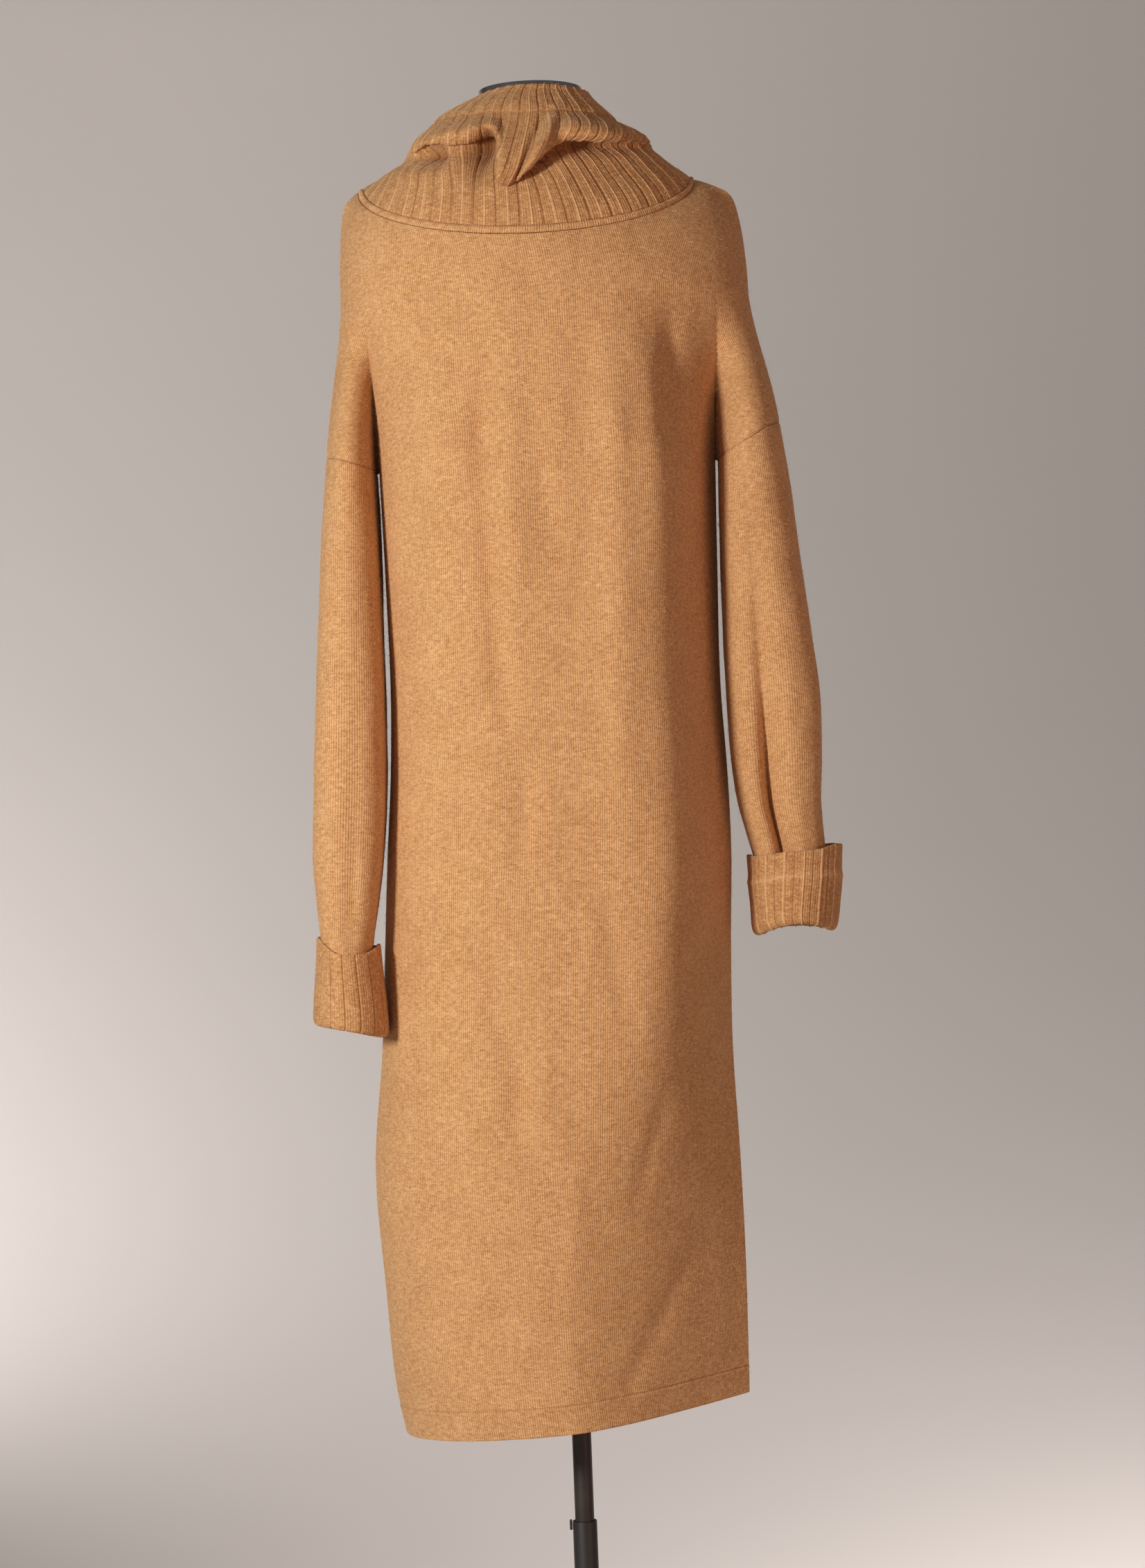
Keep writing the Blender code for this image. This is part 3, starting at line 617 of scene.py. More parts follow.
@dataclass(frozen=True)
class KnitFinish:
    """Brushed wool knit: heathered colour, fine stitches and a soft nap, with painted highlight and
    painted shade from a point attribute.
    """

    name: str
    pale: tuple = (0.90, 0.56, 0.28, 1.0)
    mid: tuple = (0.61, 0.318, 0.132, 1.0)
    deep: tuple = (0.34, 0.145, 0.05, 1.0)
    wale: float = 0.00205  # pitch of the columns of stitches
    course: float = 0.0016  # pitch of the rows
    bump: float = 0.55
    stitch_share: float = 0.34
    highlight_share: float = 0.7
    shade_share: float = 0.35

    def build(self) -> bpy.types.Material:
        """Makes the material."""
        made, maker, shader = new_material(self.name)
        place = maker.object_place()
        stretch = maker.node("Mapping", {"Vector": place, "Scale": (1.0, 1.0, 2.3)})
        along = stretch.outputs[0]
        uv = maker.node("UVMap", uv_map="knit").outputs[0]
        parts = maker.node("SeparateXYZ", {0: uv})
        wale = maker.maths("DIVIDE", parts.outputs[0], self.wale)
        course = maker.maths("DIVIDE", parts.outputs[1], self.course)
        across = maker.maths("ABSOLUTE", maker.maths("SUBTRACT", maker.maths("FRACT", wale), 0.5))
        leg = maker.maths("ADD", course, maker.maths("MULTIPLY", across, 1.1))
        wave = maker.maths("SINE", maker.maths("MULTIPLY", leg, 2 * math.pi))
        valley = maker.maths("POWER", maker.maths("MULTIPLY", across, 2.0), 3.0)
        crown = maker.maths("SUBTRACT", 1.0, valley)
        stitch = maker.maths("MULTIPLY_ADD", maker.maths("MULTIPLY", wave, crown), 0.22, crown)
        cloud = maker.noise(place, 26.0, 3.0)
        heather = maker.noise(along, 190.0, 3.0)
        fleck = maker.noise(along, 620.0, 2.0)
        fibre = maker.noise(place, 1500.0, 1.0)
        tone = maker.maths("MULTIPLY_ADD", stitch, self.stitch_share, 0.5 - 0.7 * self.stitch_share)
        for pattern, share in ((cloud, 0.2), (heather, 0.75), (fleck, 0.95)):
            tone = maker.maths("ADD", tone, maker.maths("MULTIPLY_ADD", pattern, share, -share / 2))
        ramp = maker.node("ValToRGB", {"Fac": tone})
        for stop, position, colour in zip(
            ramp.color_ramp.elements, (0.12, 0.92), (self.deep, self.pale)
        ):
            stop.position, stop.color = position, colour
        ramp.color_ramp.elements.new(0.5).color = self.mid
        # Painted highlight towards the pale colour where the attribute is above 0, painted shade
        # towards the deep colour where it is below 0.
        relief = maker.node("Attribute", attribute_name="relief").outputs["Fac"]
        painted_highlight = maker.maths("MULTIPLY", maker.maths("MAXIMUM", relief, 0.0), self.highlight_share)
        sunk = maker.maths("MAXIMUM", maker.maths("MULTIPLY", relief, -1.0), 0.0)
        dark = maker.maths("MULTIPLY", sunk, self.shade_share)
        colour = maker.blend(painted_highlight, ramp.outputs[0], self.pale)
        colour = maker.blend(dark, colour, self.deep)
        pucker = maker.noise(place, 60.0, 2.0)
        height = stitch
        for pattern, share in ((fibre, 0.9), (heather, 1.1), (pucker, 4.0)):
            height = maker.maths("MULTIPLY_ADD", pattern, share, height)
        looks = {
            "Base Color": colour,
            "Normal": maker.bump(height, self.bump, 0.0006),
            "Roughness": 0.92,
            "Specular IOR Level": 0.18,
            "Sheen Weight": 0.22,
            "Sheen Roughness": 0.45,
            "Sheen Tint": (1.0, 0.80, 0.58, 1.0),
        }
        maker.feed(shader, looks)
        return made


@dataclass(frozen=True)
class FibreFinish:
    """Pale loose fibres of the nap."""

    name: str = "camel_nap"
    pale: tuple = (1.0, 0.78, 0.50, 1.0)
    deep: tuple = (0.60, 0.32, 0.13, 1.0)

    def build(self) -> bpy.types.Material:
        """Makes the material."""
        made, maker, shader = new_material(self.name)
        place = maker.object_place()
        share = maker.maths("MULTIPLY_ADD", maker.noise(place, 300.0), 2.4, -0.75)
        colour = maker.blend(share, self.deep, self.pale)
        rough = maker.maths("MULTIPLY_ADD", maker.noise(place, 90.0), 0.2, 0.6)
        maker.feed(shader, {"Base Color": colour, "Roughness": rough})
        return made


@dataclass(frozen=True)
class CoverFinish:
    """Close-woven dark cover of the dress form."""

    name: str = "form_cover_weave"
    dark: tuple = (0.028, 0.026, 0.025, 1.0)
    pale: tuple = (0.085, 0.08, 0.076, 1.0)
    threads: float = 260.0  # scale of the weave

    def build(self) -> bpy.types.Material:
        """Makes the material."""
        made, maker, shader = new_material(self.name)
        place = maker.object_place()
        inputs = {"Vector": place, "Scale": self.threads}
        level = maker.node("TexWave", inputs, bands_direction="Z")
        upright = maker.node("TexWave", inputs, bands_direction="X")
        weave = maker.maths("MULTIPLY", level.outputs["Fac"], upright.outputs["Fac"])
        cloud = maker.noise(place, 30.0, 4.0)
        share = maker.maths("MULTIPLY_ADD", weave, 0.3, maker.maths("MULTIPLY", cloud, 0.6))
        looks = {
            "Base Color": maker.blend(share, self.dark, self.pale),
            "Normal": maker.bump(weave, 0.35, 0.0004),
            "Roughness": 0.8,
            "Sheen Weight": 0.15,
        }
        maker.feed(shader, looks)
        return made


@dataclass(frozen=True)
class MetalFinish:
    """Metal with fine turning marks and a little handling wear."""

    name: str
    colour: tuple
    worn: tuple
    roughness: float
    metallic: float = 1.0
    marks: float = 0.1

    def build(self) -> bpy.types.Material:
        """Makes the material."""
        made, maker, shader = new_material(self.name)
        place = maker.object_place()
        squeeze = maker.node("Mapping", {"Vector": place, "Scale": (1.0, 1.0, 9.0)}).outputs[0]
        rings = maker.noise(squeeze, 140.0, 4.0)
        smudge = maker.noise(place, 36.0, 3.0)
        rough = maker.maths("MULTIPLY_ADD", rings, self.marks, self.roughness - self.marks / 2)
        rough = maker.maths("MULTIPLY_ADD", smudge, self.marks, rough)
        share = maker.maths("MULTIPLY", maker.maths("POWER", smudge, 3.0), 1.6)
        looks = {
            "Base Color": maker.blend(share, self.colour, self.worn),
            "Normal": maker.bump(rings, 0.08, 0.0002),
            "Roughness": rough,
            "Metallic": self.metallic,
        }
        maker.feed(shader, looks)
        return made


@dataclass(frozen=True)
class PaintFinish:
    """Satin powder coat, slightly pebbled, with dust on it."""

    name: str
    colour: tuple
    dust: tuple
    roughness: float

    def build(self) -> bpy.types.Material:
        """Makes the material."""
        made, maker, shader = new_material(self.name)
        place = maker.object_place()
        pebble = maker.noise(place, 900.0, 2.0)
        cloud = maker.noise(place, 22.0, 4.0)
        share = maker.maths("MULTIPLY", maker.maths("POWER", cloud, 2.5), 0.9)
        looks = {
            "Base Color": maker.blend(share, self.colour, self.dust),
            "Normal": maker.bump(pebble, 0.2, 0.0003),
            "Roughness": maker.maths("MULTIPLY_ADD", cloud, 0.2, self.roughness - 0.1),
        }
        maker.feed(shader, looks)
        return made


class Slot(Enum):
    """The record's material slots."""

    KNIT = "knit"
    RIB = "rib"
    FORM_COVER = "form_cover"
    CAP = "cap"
    TUBE = "tube_grey"
    BLACK = "stand_black"


def enter(piece: bpy.types.Object, slot: Slot, *nodes: str) -> None:
    """Puts a finished piece in the frame: its body and the CAD nodes it stands for, and logs its
    slot.

    Args:
        piece: the piece.
        slot: the record's material slot that it is logged under.
        nodes: the CAD nodes that it replaces.
    """
    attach(piece, "root")
    if nodes:
        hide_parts(*nodes)
    triangles = sum(len(face.vertices) - 2 for face in piece.data.polygons)
    LOG.info("%s: %d triangles, slot %s", piece.name, triangles, slot.value)


@dataclass
class Nap:
    """The short loose fibres that stand off brushed knit, each a closed needle."""

    finish: bpy.types.Material
    density: float = 42000.0  # to a square metre
    length: float = 3.8
    radius: float = 0.13
    rise: float = 1.0
    depth: float = 0.3  # of the root, inside the cloth
    shortest: float = 0.5  # share of the length; the longest is one more

    def grow(self, cloth: bpy.types.Object, slot: Slot, seed: int) -> None:
        """Makes and enters the fibres of one piece of cloth.

        Args:
            cloth: the piece, as ClothMesh built it.
            slot: the piece's slot.
            seed: for the random draws.
        """
        mesh = cloth.data
        loops = np.empty(len(mesh.loops), np.int32)
        mesh.loops.foreach_get("vertex_index", loops)
        points = np.empty(len(mesh.vertices) * 3, np.float32)
        mesh.vertices.foreach_get("co", points)
        four = points.reshape(-1, 3).astype(float)[loops.reshape(-1, 4)[: cloth[SHOWN]]]
        normal = np.cross(four[:, 2] - four[:, 0], four[:, 3] - four[:, 1]) / 2
        area = np.linalg.norm(normal, axis=1)
        random = np.random.default_rng(seed)
        count = int(self.density * area.sum())
        pick = random.choice(len(area), count, p=area / area.sum())
        u, v = random.random((2, count, 1))
        low = four[pick, 0] * (1 - u) + four[pick, 1] * u
        high = four[pick, 3] * (1 - u) + four[pick, 2] * u
        out = normal[pick] / area[pick, None]
        side = np.cross(out, random.normal(size=(count, 3)))
        side /= np.linalg.norm(side, axis=1, keepdims=True)
        way = side + out * self.rise * random.random((count, 1))
        way /= np.linalg.norm(way, axis=1, keepdims=True)
        root = low * (1 - v) + high * v - out * self.depth * MM
        tip = root + way * self.length * MM * (self.shortest + random.random((count, 1)))
        across = np.cross(way, out)
        across /= np.linalg.norm(across, axis=1, keepdims=True)
        beside = np.cross(way, across)
        ends = [
            root + (across * math.cos(turn) + beside * math.sin(turn)) * self.radius * MM
            for turn in np.radians((0, 120, 240))
        ]
        verts = np.stack((*ends, tip), axis=1).reshape(-1, 3)
        faces = np.array(((0, 2, 1), (0, 1, 3), (1, 2, 3), (2, 0, 3)))
        faces = (faces[None] + 4 * np.arange(count)[:, None, None]).reshape(-1, 3)
        name = cloth.name + "_nap"
        made = bpy.data.meshes.new(name)
        made.from_pydata(verts.tolist(), [], faces.tolist())
        made.materials.append(self.finish)
        enter(add_object(name, made), slot)


# ---------------------------------------------------------------- the dress


@dataclass
class DressShell:
    """Front, back and sleeves, which share their columns where they meet."""

    finish: bpy.types.Material
    body_cells: int = 96  # across one face of the body
    cap_cells: int = 40  # across one face of a sleeve
    ridge_cells: int = 10  # of them, those on the shoulder seam
    pitch: float = 4.0  # between rows
    hem: float = 521.0
    hem_band: float = 26.0
    hem_tilt: float = 0.0735  # rise for each millimetre to the right
    hem_tilt_fades: float = 800.0  # the height where there is none left
    underarm: float = 1395.0
    chest: float = 1545.0
    chest_left: float = -181.0
    chest_right: float = 193.0
    chest_front: float = 119.0
    chest_back: float = 100.0
    pleat: float = 13.0  # the sharp crease above the right cuff
    left_fullness: float = 0.3  # how much squarer the front's left side is up there
    fuller_from: float = 960.0
    fuller_over: float = 90.0
    sleeve_flatness: float = 0.56  # of the sleeves' faces, where 1 is an ellipse
    fold_left: float = 30.0  # degrees round the chest where the sleeve's columns end
    fold_right: float = 33.0
    neck_left: float = -162.0
    neck_right: float = 148.0
    neck_front: float = 112.0
    neck_back: float = 88.0
    neck: float = 1652.0
    neck_dip: float = 60.0
    neck_back_dip: float = 10.0
    neck_fold: float = 22.0  # the same round the neckline
    left_corner: tuple = (-174.0, 1640.0)  # the shoulder seam's outer end, across and up
    right_corner: tuple = (178.0, 1639.0)
    seam_gap: float = 0.4
    side_shares: tuple = (0.35, 0.9, 1.0)  # of the wall, from a panel's side seams in
    rim_shares: tuple = (0.4, 0.8)  # of the wall, from its neck and shoulder edge in

    def push(self, x: np.ndarray, z: np.ndarray, face: int) -> np.ndarray:
        """How far folds and waves push a face of the body out at each place."""
        folds = FRONT_FOLDS if face < 0 else BACK_FOLDS
        return fold_height(folds, x, z) + WAVES * unevenness(x, z, 0.4 - face)

    def body_rows(self, heights: np.ndarray, face: int) -> np.ndarray:
        """Half sections of the body, from its left side seam to its right one.

        Args:
            heights: the rows' heights before the hem's tilt.
            face: -1 for the front, 1 for the back.

        Returns:
            Rows of points.
        """
        table = np.array(BODY, float)
        values = curve(table[:, 0], table[:, 1:], heights)
        left, right = values[:, :1], values[:, 1:2]
        depth = values[:, 2:3] if face < 0 else values[:, 3:4]
        angle = np.linspace(0, math.pi, self.body_cells + 1)[None]
        x = between(left, right, np.cos(angle))
        z = np.broadcast_to(heights[:, None], x.shape)
        section = np.sin(angle)
        if face < 0:
            high = ((heights[:, None] - self.fuller_from) / self.fuller_over).clip(0, 1)
            fullness = 2 + self.left_fullness * high
            corner, soft = values[:, 4:5], values[:, 5:6]
            section = self.front_section(-np.cos(angle), corner, soft, fullness)
        swell = depth * section + self.push(x, z, face) * np.sin(angle) ** 2
        fade = ((self.hem_tilt_fades - z) / (self.hem_tilt_fades - self.hem)).clip(0, 1)
        return np.stack((x, face * swell, z + self.hem_tilt * x * fade), axis=2)

    def front_section(
        self, across: np.ndarray, corner: np.ndarray, soft: np.ndarray, fullness: np.ndarray
    ) -> np.ndarray:
        """The front's section: round on the left, then flat, then turning at a soft corner.

        Args:
            across: places from -1 at the left edge to 1 at the right one.
            corner: where the front turns.
            soft: how gently.
            fullness: of the left, where 2 is an ellipse.

        Returns:
            The share of the front's depth at each place.
        """
        turned = soft * np.log1p(np.exp((across - corner) / soft))
        first = soft * np.log1p(np.exp(-corner / soft))
        last = soft * np.log1p(np.exp((1 - corner) / soft))
        left = (1 - np.abs(across.clip(-1, 0)) ** fullness) ** (1 / fullness)
        return np.where(across < 0, left, 1 - (turned - first) / (last - first))

    def sleeve_half(self, values: np.ndarray, face: int) -> np.ndarray:
        """Half sections of a sleeve, from its outer side to its inner one.

        Args:
            values: lines of sleeve numbers, as the tables give them.
            face: -1 for the front, 1 for the back.

        Returns:
            Rows of points.
        """
        z_outer, z_inner, outer, inner, front, back, crease = values.T[:, :, None]
        column = np.linspace(0, SLEEVE_COLUMNS, self.cap_cells + 1)[None]
        angle = math.pi * column / SLEEVE_COLUMNS
        dent = crease * bell(column - 4.5, 0.8) * (1.0 if face < 0 else 0.5)
        if face < 0:
            sharp = (crease / DEEPEST_CREASE).clip(0, 1) ** 2 * self.pleat
            dent = dent + sharp * bell(column - 4.75, 0.3)
        x = between(outer, inner, np.cos(angle))
        z = between(z_outer, z_inner, np.cos(angle))
        down = np.linspace(0, 1, len(values))[:, None]
        flatness = 1 + (self.sleeve_flatness - 1) * np.sin(math.pi * down).clip(0, 1) ** 0.5
        swell = np.sin(angle).clip(0, 1) ** flatness
        y = (back - front) / 2 + face * ((back + front) / 2 * swell - dent)
        return np.stack((x, y, z), axis=2)

    def sleeve_values(self, rows: tuple) -> np.ndarray:
        """Lines of sleeve numbers at an even pitch from the armhole to the cuff."""
        length = rows[0].z_outer - rows[-1].z_outer
        edge = np.array([0.0, 0.06, 0.2, 0.4])
        steps = int(length / self.pitch)
        spread = (len(rows) - 1) / length
        inside = np.linspace(1.2, length - 1.2, steps)
        at = np.concatenate((edge * 2.5, inside[1:-1], length - edge[::-1] * 2.5)) * spread
        return read_rows(rows, at.clip(0, len(rows) - 1))

    def fan(self, left_fold: float, right_fold: float, skipped: int) -> np.ndarray:
        """Angles round half a ring: the sleeve's columns up to the fold, then the body's."""
        left = np.linspace(0, left_fold, self.cap_cells + 1 - skipped)
        body = np.linspace(left_fold, 180 - right_fold, self.body_cells + 1)
        right = np.linspace(180 - right_fold, 180, self.cap_cells + 1 - skipped)
        return np.radians(np.concatenate((left, body[1:], right[1:])))

    def neckline(self, angle: np.ndarray, face: int) -> np.ndarray:
        """Points of the neck edge at angles from its left end."""
        depth = self.neck_front if face < 0 else self.neck_back
        dip = self.neck_dip if face < 0 else self.neck_back_dip
        reach = np.sin(angle)
        x = between(self.neck_left, self.neck_right, np.cos(angle))
        return np.stack((x, face * depth * reach, self.neck - dip * reach), axis=-1)

    def top_edge(self, face: int) -> np.ndarray:
        """Half the top edge: the shoulder seam from its corner in, the neckline, and out."""
        neck = self.neckline(self.fan(self.neck_fold, self.neck_fold, self.ridge_cells), face)
        share = np.arange(self.ridge_cells)[:, None] / self.ridge_cells
        sides = []
        for corner, end in ((self.left_corner, neck[0]), (self.right_corner, neck[-1])):
            x = corner[0] + (end[0] - corner[0]) * share
            z = corner[1] + (end[2] - corner[1]) * share**0.8
            sides.append(np.concatenate((x, np.zeros_like(x), z), axis=1))
        return np.concatenate((sides[0], neck, sides[1][::-1]))

    def yoke_rows(self, face: int) -> np.ndarray:
        """Rows of one face from the armholes up to the shoulders and the neckline."""
        depth = self.chest_front if face < 0 else self.chest_back
        angle = self.fan(self.fold_left, self.fold_right, 0)
        x = between(self.chest_left, self.chest_right, np.cos(angle))
        chest = np.stack((x, face * depth * np.sin(angle), np.full(len(x), self.chest)), axis=1)
        left = self.sleeve_half(np.array(LEFT_SLEEVE[:1], float), face)[0]
        right = self.sleeve_half(np.array(RIGHT_SLEEVE[:1], float), face)[0][::-1]
        body = self.body_rows(np.array([self.underarm]), face)[0]
        armhole = np.concatenate((left[:-1], body, right[1:]))
        low_rows = int((self.chest - self.underarm) / self.pitch)
        rows = [armhole]
        for step in range(1, low_rows + 1):
            share = 1 - step / low_rows
            eased = 0.5 * share + 0.5 * share**2 * (3 - 2 * share)
            row = chest + (armhole - chest) * eased
            row[:, 2] = chest[:, 2] + (armhole[:, 2] - chest[:, 2]) * share
            rows.append(row)
        top = self.top_edge(face)
        roundness = np.abs(np.linspace(-1, 1, len(top))) ** 0.7
        high_rows = 40
        rim_rows = (0.985, 0.993, 1.0)  # close together, where the wall thins
        for share in np.append(np.arange(1, high_rows) / high_rows, rim_rows):
            turn = share * math.pi / 2
            inward = (1 - roundness) * share + roundness * (1 - math.cos(turn))
            upward = (1 - roundness) * share + roundness * math.sin(turn)
            row = chest + (top - chest) * inward[:, None]
            row[:, 2] = chest[:, 2] + (top[:, 2] - chest[:, 2]) * upward
            rows.append(row)
        made = np.array(rows)
        x, z = made[..., 0], made[..., 2]
        under_neck = ((self.neck - z) / 60).clip(0, 1)
        over_arm = ((z - self.underarm) / 20).clip(0, 1)
        beside = np.sin(np.linspace(0, math.pi, made.shape[1]))[None] ** 2
        made[..., 1] += face * self.push(x, z, face) * under_neck * beside * over_arm
        return made

    def ring_columns(self) -> tuple[list[int], list[int], list[int]]:
        """Where the left sleeve's, the right sleeve's and the body's columns are in a ring."""
        cap, wide = self.cap_cells, 2 * self.cap_cells + self.body_cells
        left = list(range(cap + 1)) + list(range(2 * wide - cap + 1, 2 * wide))
        right = list(range(wide, wide - cap - 1, -1)) + list(range(wide + cap - 1, wide, -1))
        body = list(range(cap, wide - cap + 1))
        body += list(range(wide + cap + 1, 2 * wide - cap))
        return left, right, body

    def sleeve_rings(self, rows: tuple) -> np.ndarray:
        """Rings of a sleeve from the armhole down."""
        values = self.sleeve_values(rows)
        rings = closed(self.sleeve_half(values, -1), self.sleeve_half(values, 1))
        middle = rings.mean(axis=1, keepdims=True)
        away = rings - middle
        side = np.arctan2(away[..., 1], away[..., 0]) * 55
        fade = np.minimum(1.0, np.arange(len(rings)) / 8)[:, None]
        wave = unevenness(side, rings[..., 2], 2.1 if rows is LEFT_SLEEVE else 3.7) * fade
        return rings + away / np.linalg.norm(away, axis=2, keepdims=True) * wave[..., None]

    def skirt_heights(self) -> np.ndarray:
        """Rows of the skirt: close at the hem's edge and its linking line, then even."""
        edge = np.array((0, 0.25, 0.8, 1.7, 3, 5, 8, 11.5, 15, 18.5, 21, 22.6, 23.8))
        line = self.hem_band + np.array((-1.4, -0.8, -0.3, 0.2, 0.7, 1.3, 2.0, 3.0, 4.6))
        start = self.hem + np.concatenate((edge, line))
        count = int((self.underarm - start[-1]) / self.pitch)
        return np.concatenate((start, np.linspace(start[-1], self.underarm, count + 1)[1:-1]))

    def half_of(self, rings: np.ndarray, face: int) -> np.ndarray:
        """The front half of rows of rings, or the back half in the same order of columns."""
        facing = rings if face < 0 else np.roll(rings[:, ::-1], 1, axis=1)
        return facing[:, : rings.shape[1] // 2 + 1].copy()

    def hem_wall(self, beyond: np.ndarray, full: np.ndarray) -> tuple[np.ndarray, np.ndarray]:
        """How far the skirt's faces stand off its middle surface.

        Args:
            beyond: heights above the hem's linking line.
            full: the share of the wall that the hem's rounded edge leaves.

        Returns:
            The outer face's stand-off at each row, then the inner one's.
        """
        turned = past(-beyond, 0.7)  # 1 where the cloth is double
        line = 0.35 * bell(beyond + 2.2, 1.2) - 0.75 * bell(beyond, 0.55)  # a swell and a groove
        outer = CLOTH / 2 * full + line + 0.25 * turned * full
        inner = (CLOTH / 2 + (DOUBLED - CLOTH) * turned) * full
        centre = (outer - inner) * (1 - full)
        return outer - centre, inner + centre

    def panel(self, name: str, face: int, grids: dict[str, np.ndarray]) -> bpy.types.Object:
        """The front or back, as one wall.

        Args:
            name: the piece's name.
            face: -1 for the front, 1 for the back.
            grids: skirt and yoke points and their outward directions.

        Returns:
            The new object.
        """
        skirt, skirt_out, yoke, yoke_out = (
            self.half_of(grids[grid], face) for grid in ("skirt", "skirt_out", "yoke", "yoke_out")
        )
        above = self.skirt_heights() - self.hem
        beyond = above - self.hem_band
        outward, inward = self.hem_wall(beyond, rounded(above, DOUBLED / 2))
        side = thinned(skirt.shape[1], self.side_shares)[None, :, None]
        skirt_outer = skirt + skirt_out * outward[:, None, None] * side
        skirt_inner = skirt - skirt_out * inward[:, None, None]
        cap, across = self.cap_cells, yoke.shape[1]
        yoke_side = np.tile(thinned(across, self.side_shares), (len(yoke), 1))
        yoke_side[-1], yoke_side[-2] = self.rim_shares
        yoke_side[0, np.r_[0 : cap + 1, across - cap - 1 : across]] = self.rim_shares[0]
        yoke_outer = yoke + yoke_out * (CLOTH / 2 * yoke_side)[..., None]
        yoke_inner = yoke - yoke_out * (CLOTH / 2 * yoke_side)[..., None]
        for sheet in (skirt_outer, skirt_inner, yoke_outer, yoke_inner):
            sheet[:, (0, -1), 1] += face * self.seam_gap / 2
        ridge = list(range(1, self.ridge_cells + 1))
        for sheet in (yoke_outer, yoke_inner):
            sheet[-1, ridge + [-1 - i for i in ridge], 1] += face * self.seam_gap / 2
            sheet[0, (cap, cap + self.body_cells), 1] += face * 4 * self.seam_gap
        made = ClothMesh(name)
        # Painted shade along the hem's linking line.
        dark = -0.9 * bell(beyond, 0.8)
        relief = np.broadcast_to(dark[:, None], skirt.shape[:2])
        low = made.add_points(skirt_outer, skirt_inner, relief)
        high = made.add_points(yoke_outer, yoke_inner)
        join = high[:1, cap : cap + self.body_cells + 1]
        skirt_all = np.concatenate((skirt, yoke[:1, cap : cap + self.body_cells + 1]))
        v = lengths(skirt_all, 0)
        made.add_cells(np.concatenate((low, join)), np.stack((from_middle(skirt_all), v), axis=2))
        v = lengths(yoke, 0) + v[-1].mean()
        made.add_cells(high, np.stack((from_middle(yoke), v), axis=2))
        return made.build(self.finish)

    def build(self) -> None:
        """Makes and enters the front, the back and both sleeves."""
        heights = self.skirt_heights()
        skirt = closed(self.body_rows(heights, -1), self.body_rows(heights, 1))
        yoke = closed(self.yoke_rows(-1), self.yoke_rows(1))
        left, right, body = self.ring_columns()
        arms = (
            ("sleeve_left", LEFT_SLEEVE, left, 1),
            ("sleeve_right", RIGHT_SLEEVE, right, -1),
        )
        below = yoke[0] - (0, 0, 1)
        rings = {name: self.sleeve_rings(rows) for name, rows, _, _ in arms}
        for name, _, columns, _ in arms:
            below[columns] = rings[name][1]
        below[body] = skirt[-1]
        yoke_out = normals_of(yoke, below=below)
        wide = 2 * self.cap_cells + self.body_cells
        for step in range(-self.ridge_cells, self.ridge_cells + 1):
            for column in (step, wide + step):
                level = yoke_out[-1, column] * (1, 0, 1)
                yoke_out[-1, column] = level / np.linalg.norm(level)
        grids = {
            "skirt": skirt,
            "skirt_out": normals_of(skirt, above=yoke[0][body]),
            "yoke": yoke,
            "yoke_out": yoke_out,
        }
        for name, rows, columns, turn in arms:
            tube = rings[name]
            outward = turn * normals_of(tube[::-1])[::-1]
            underarm = outward[0, self.cap_cells].copy()
            outward[0] = yoke_out[0][columns]
            outward[0, self.cap_cells] = underarm
            tube[0, :, 2] -= self.seam_gap
            wall = CLOTH * thinned(len(tube), (0.4, 0.75, 0.95, 1.0))
            bare = np.zeros(tube.shape[:2])
            piece = tube_piece(name + "_knit", tube, wall, bare, bare, self.finish, outward)
            enter(piece, Slot.KNIT, name)
        for name, face in (("front_panel", -1), ("back_panel", 1)):
            piece = self.panel(name + "_knit", face, grids)
            enter(piece, Slot.KNIT, name)


@dataclass(frozen=True)
class RibPattern:
    """Flat panels divided in turn by a thin raised line and a thin groove.

    One repeat goes from raised line to raised line. Its columns are closest at the lines.
    """

    columns: tuple = (
        0.0, 0.035, 0.075, 0.14, 0.25, 0.36, 0.425, 0.465,
        0.5, 0.535, 0.575, 0.64, 0.75, 0.86, 0.925, 0.965,
    )
    ridge: float = 0.95
    groove: float = 0.95
    crown: float = 0.3
    painted_highlight: float = 1.0  # how strong the painted highlight on the raised lines is

    def phases(self, repeats: int) -> np.ndarray:
        """Places of all columns, in repeats."""
        start = np.arange(repeats)[:, None]
        return (start + np.array(self.columns)[None]).reshape(-1)

    def distances(self, phase: np.ndarray) -> tuple[np.ndarray, np.ndarray]:
        """How far each place is from its raised line and from its groove, in repeats."""
        part = phase % 1.0
        return np.minimum(part, 1 - part), np.abs(part - 0.5)

    def height(self, phase: np.ndarray) -> np.ndarray:
        """How far the rib stands off the middle surface, in millimetres."""
        to_ridge, to_groove = self.distances(phase)
        panel = np.sin(4 * np.pi * np.minimum(to_ridge, to_groove)) ** 2
        lines = self.ridge * bell(to_ridge, 0.04) - self.groove * bell(to_groove, 0.04)
        return lines + self.crown * (panel - 0.5)

    def tone(self, phase: np.ndarray) -> np.ndarray:
        """Painted highlight on the raised lines and painted shade in the grooves, from -1 to 1."""
        to_ridge, to_groove = self.distances(phase)
        return self.painted_highlight * bell(to_ridge, 0.03) - bell(to_groove, 0.03)


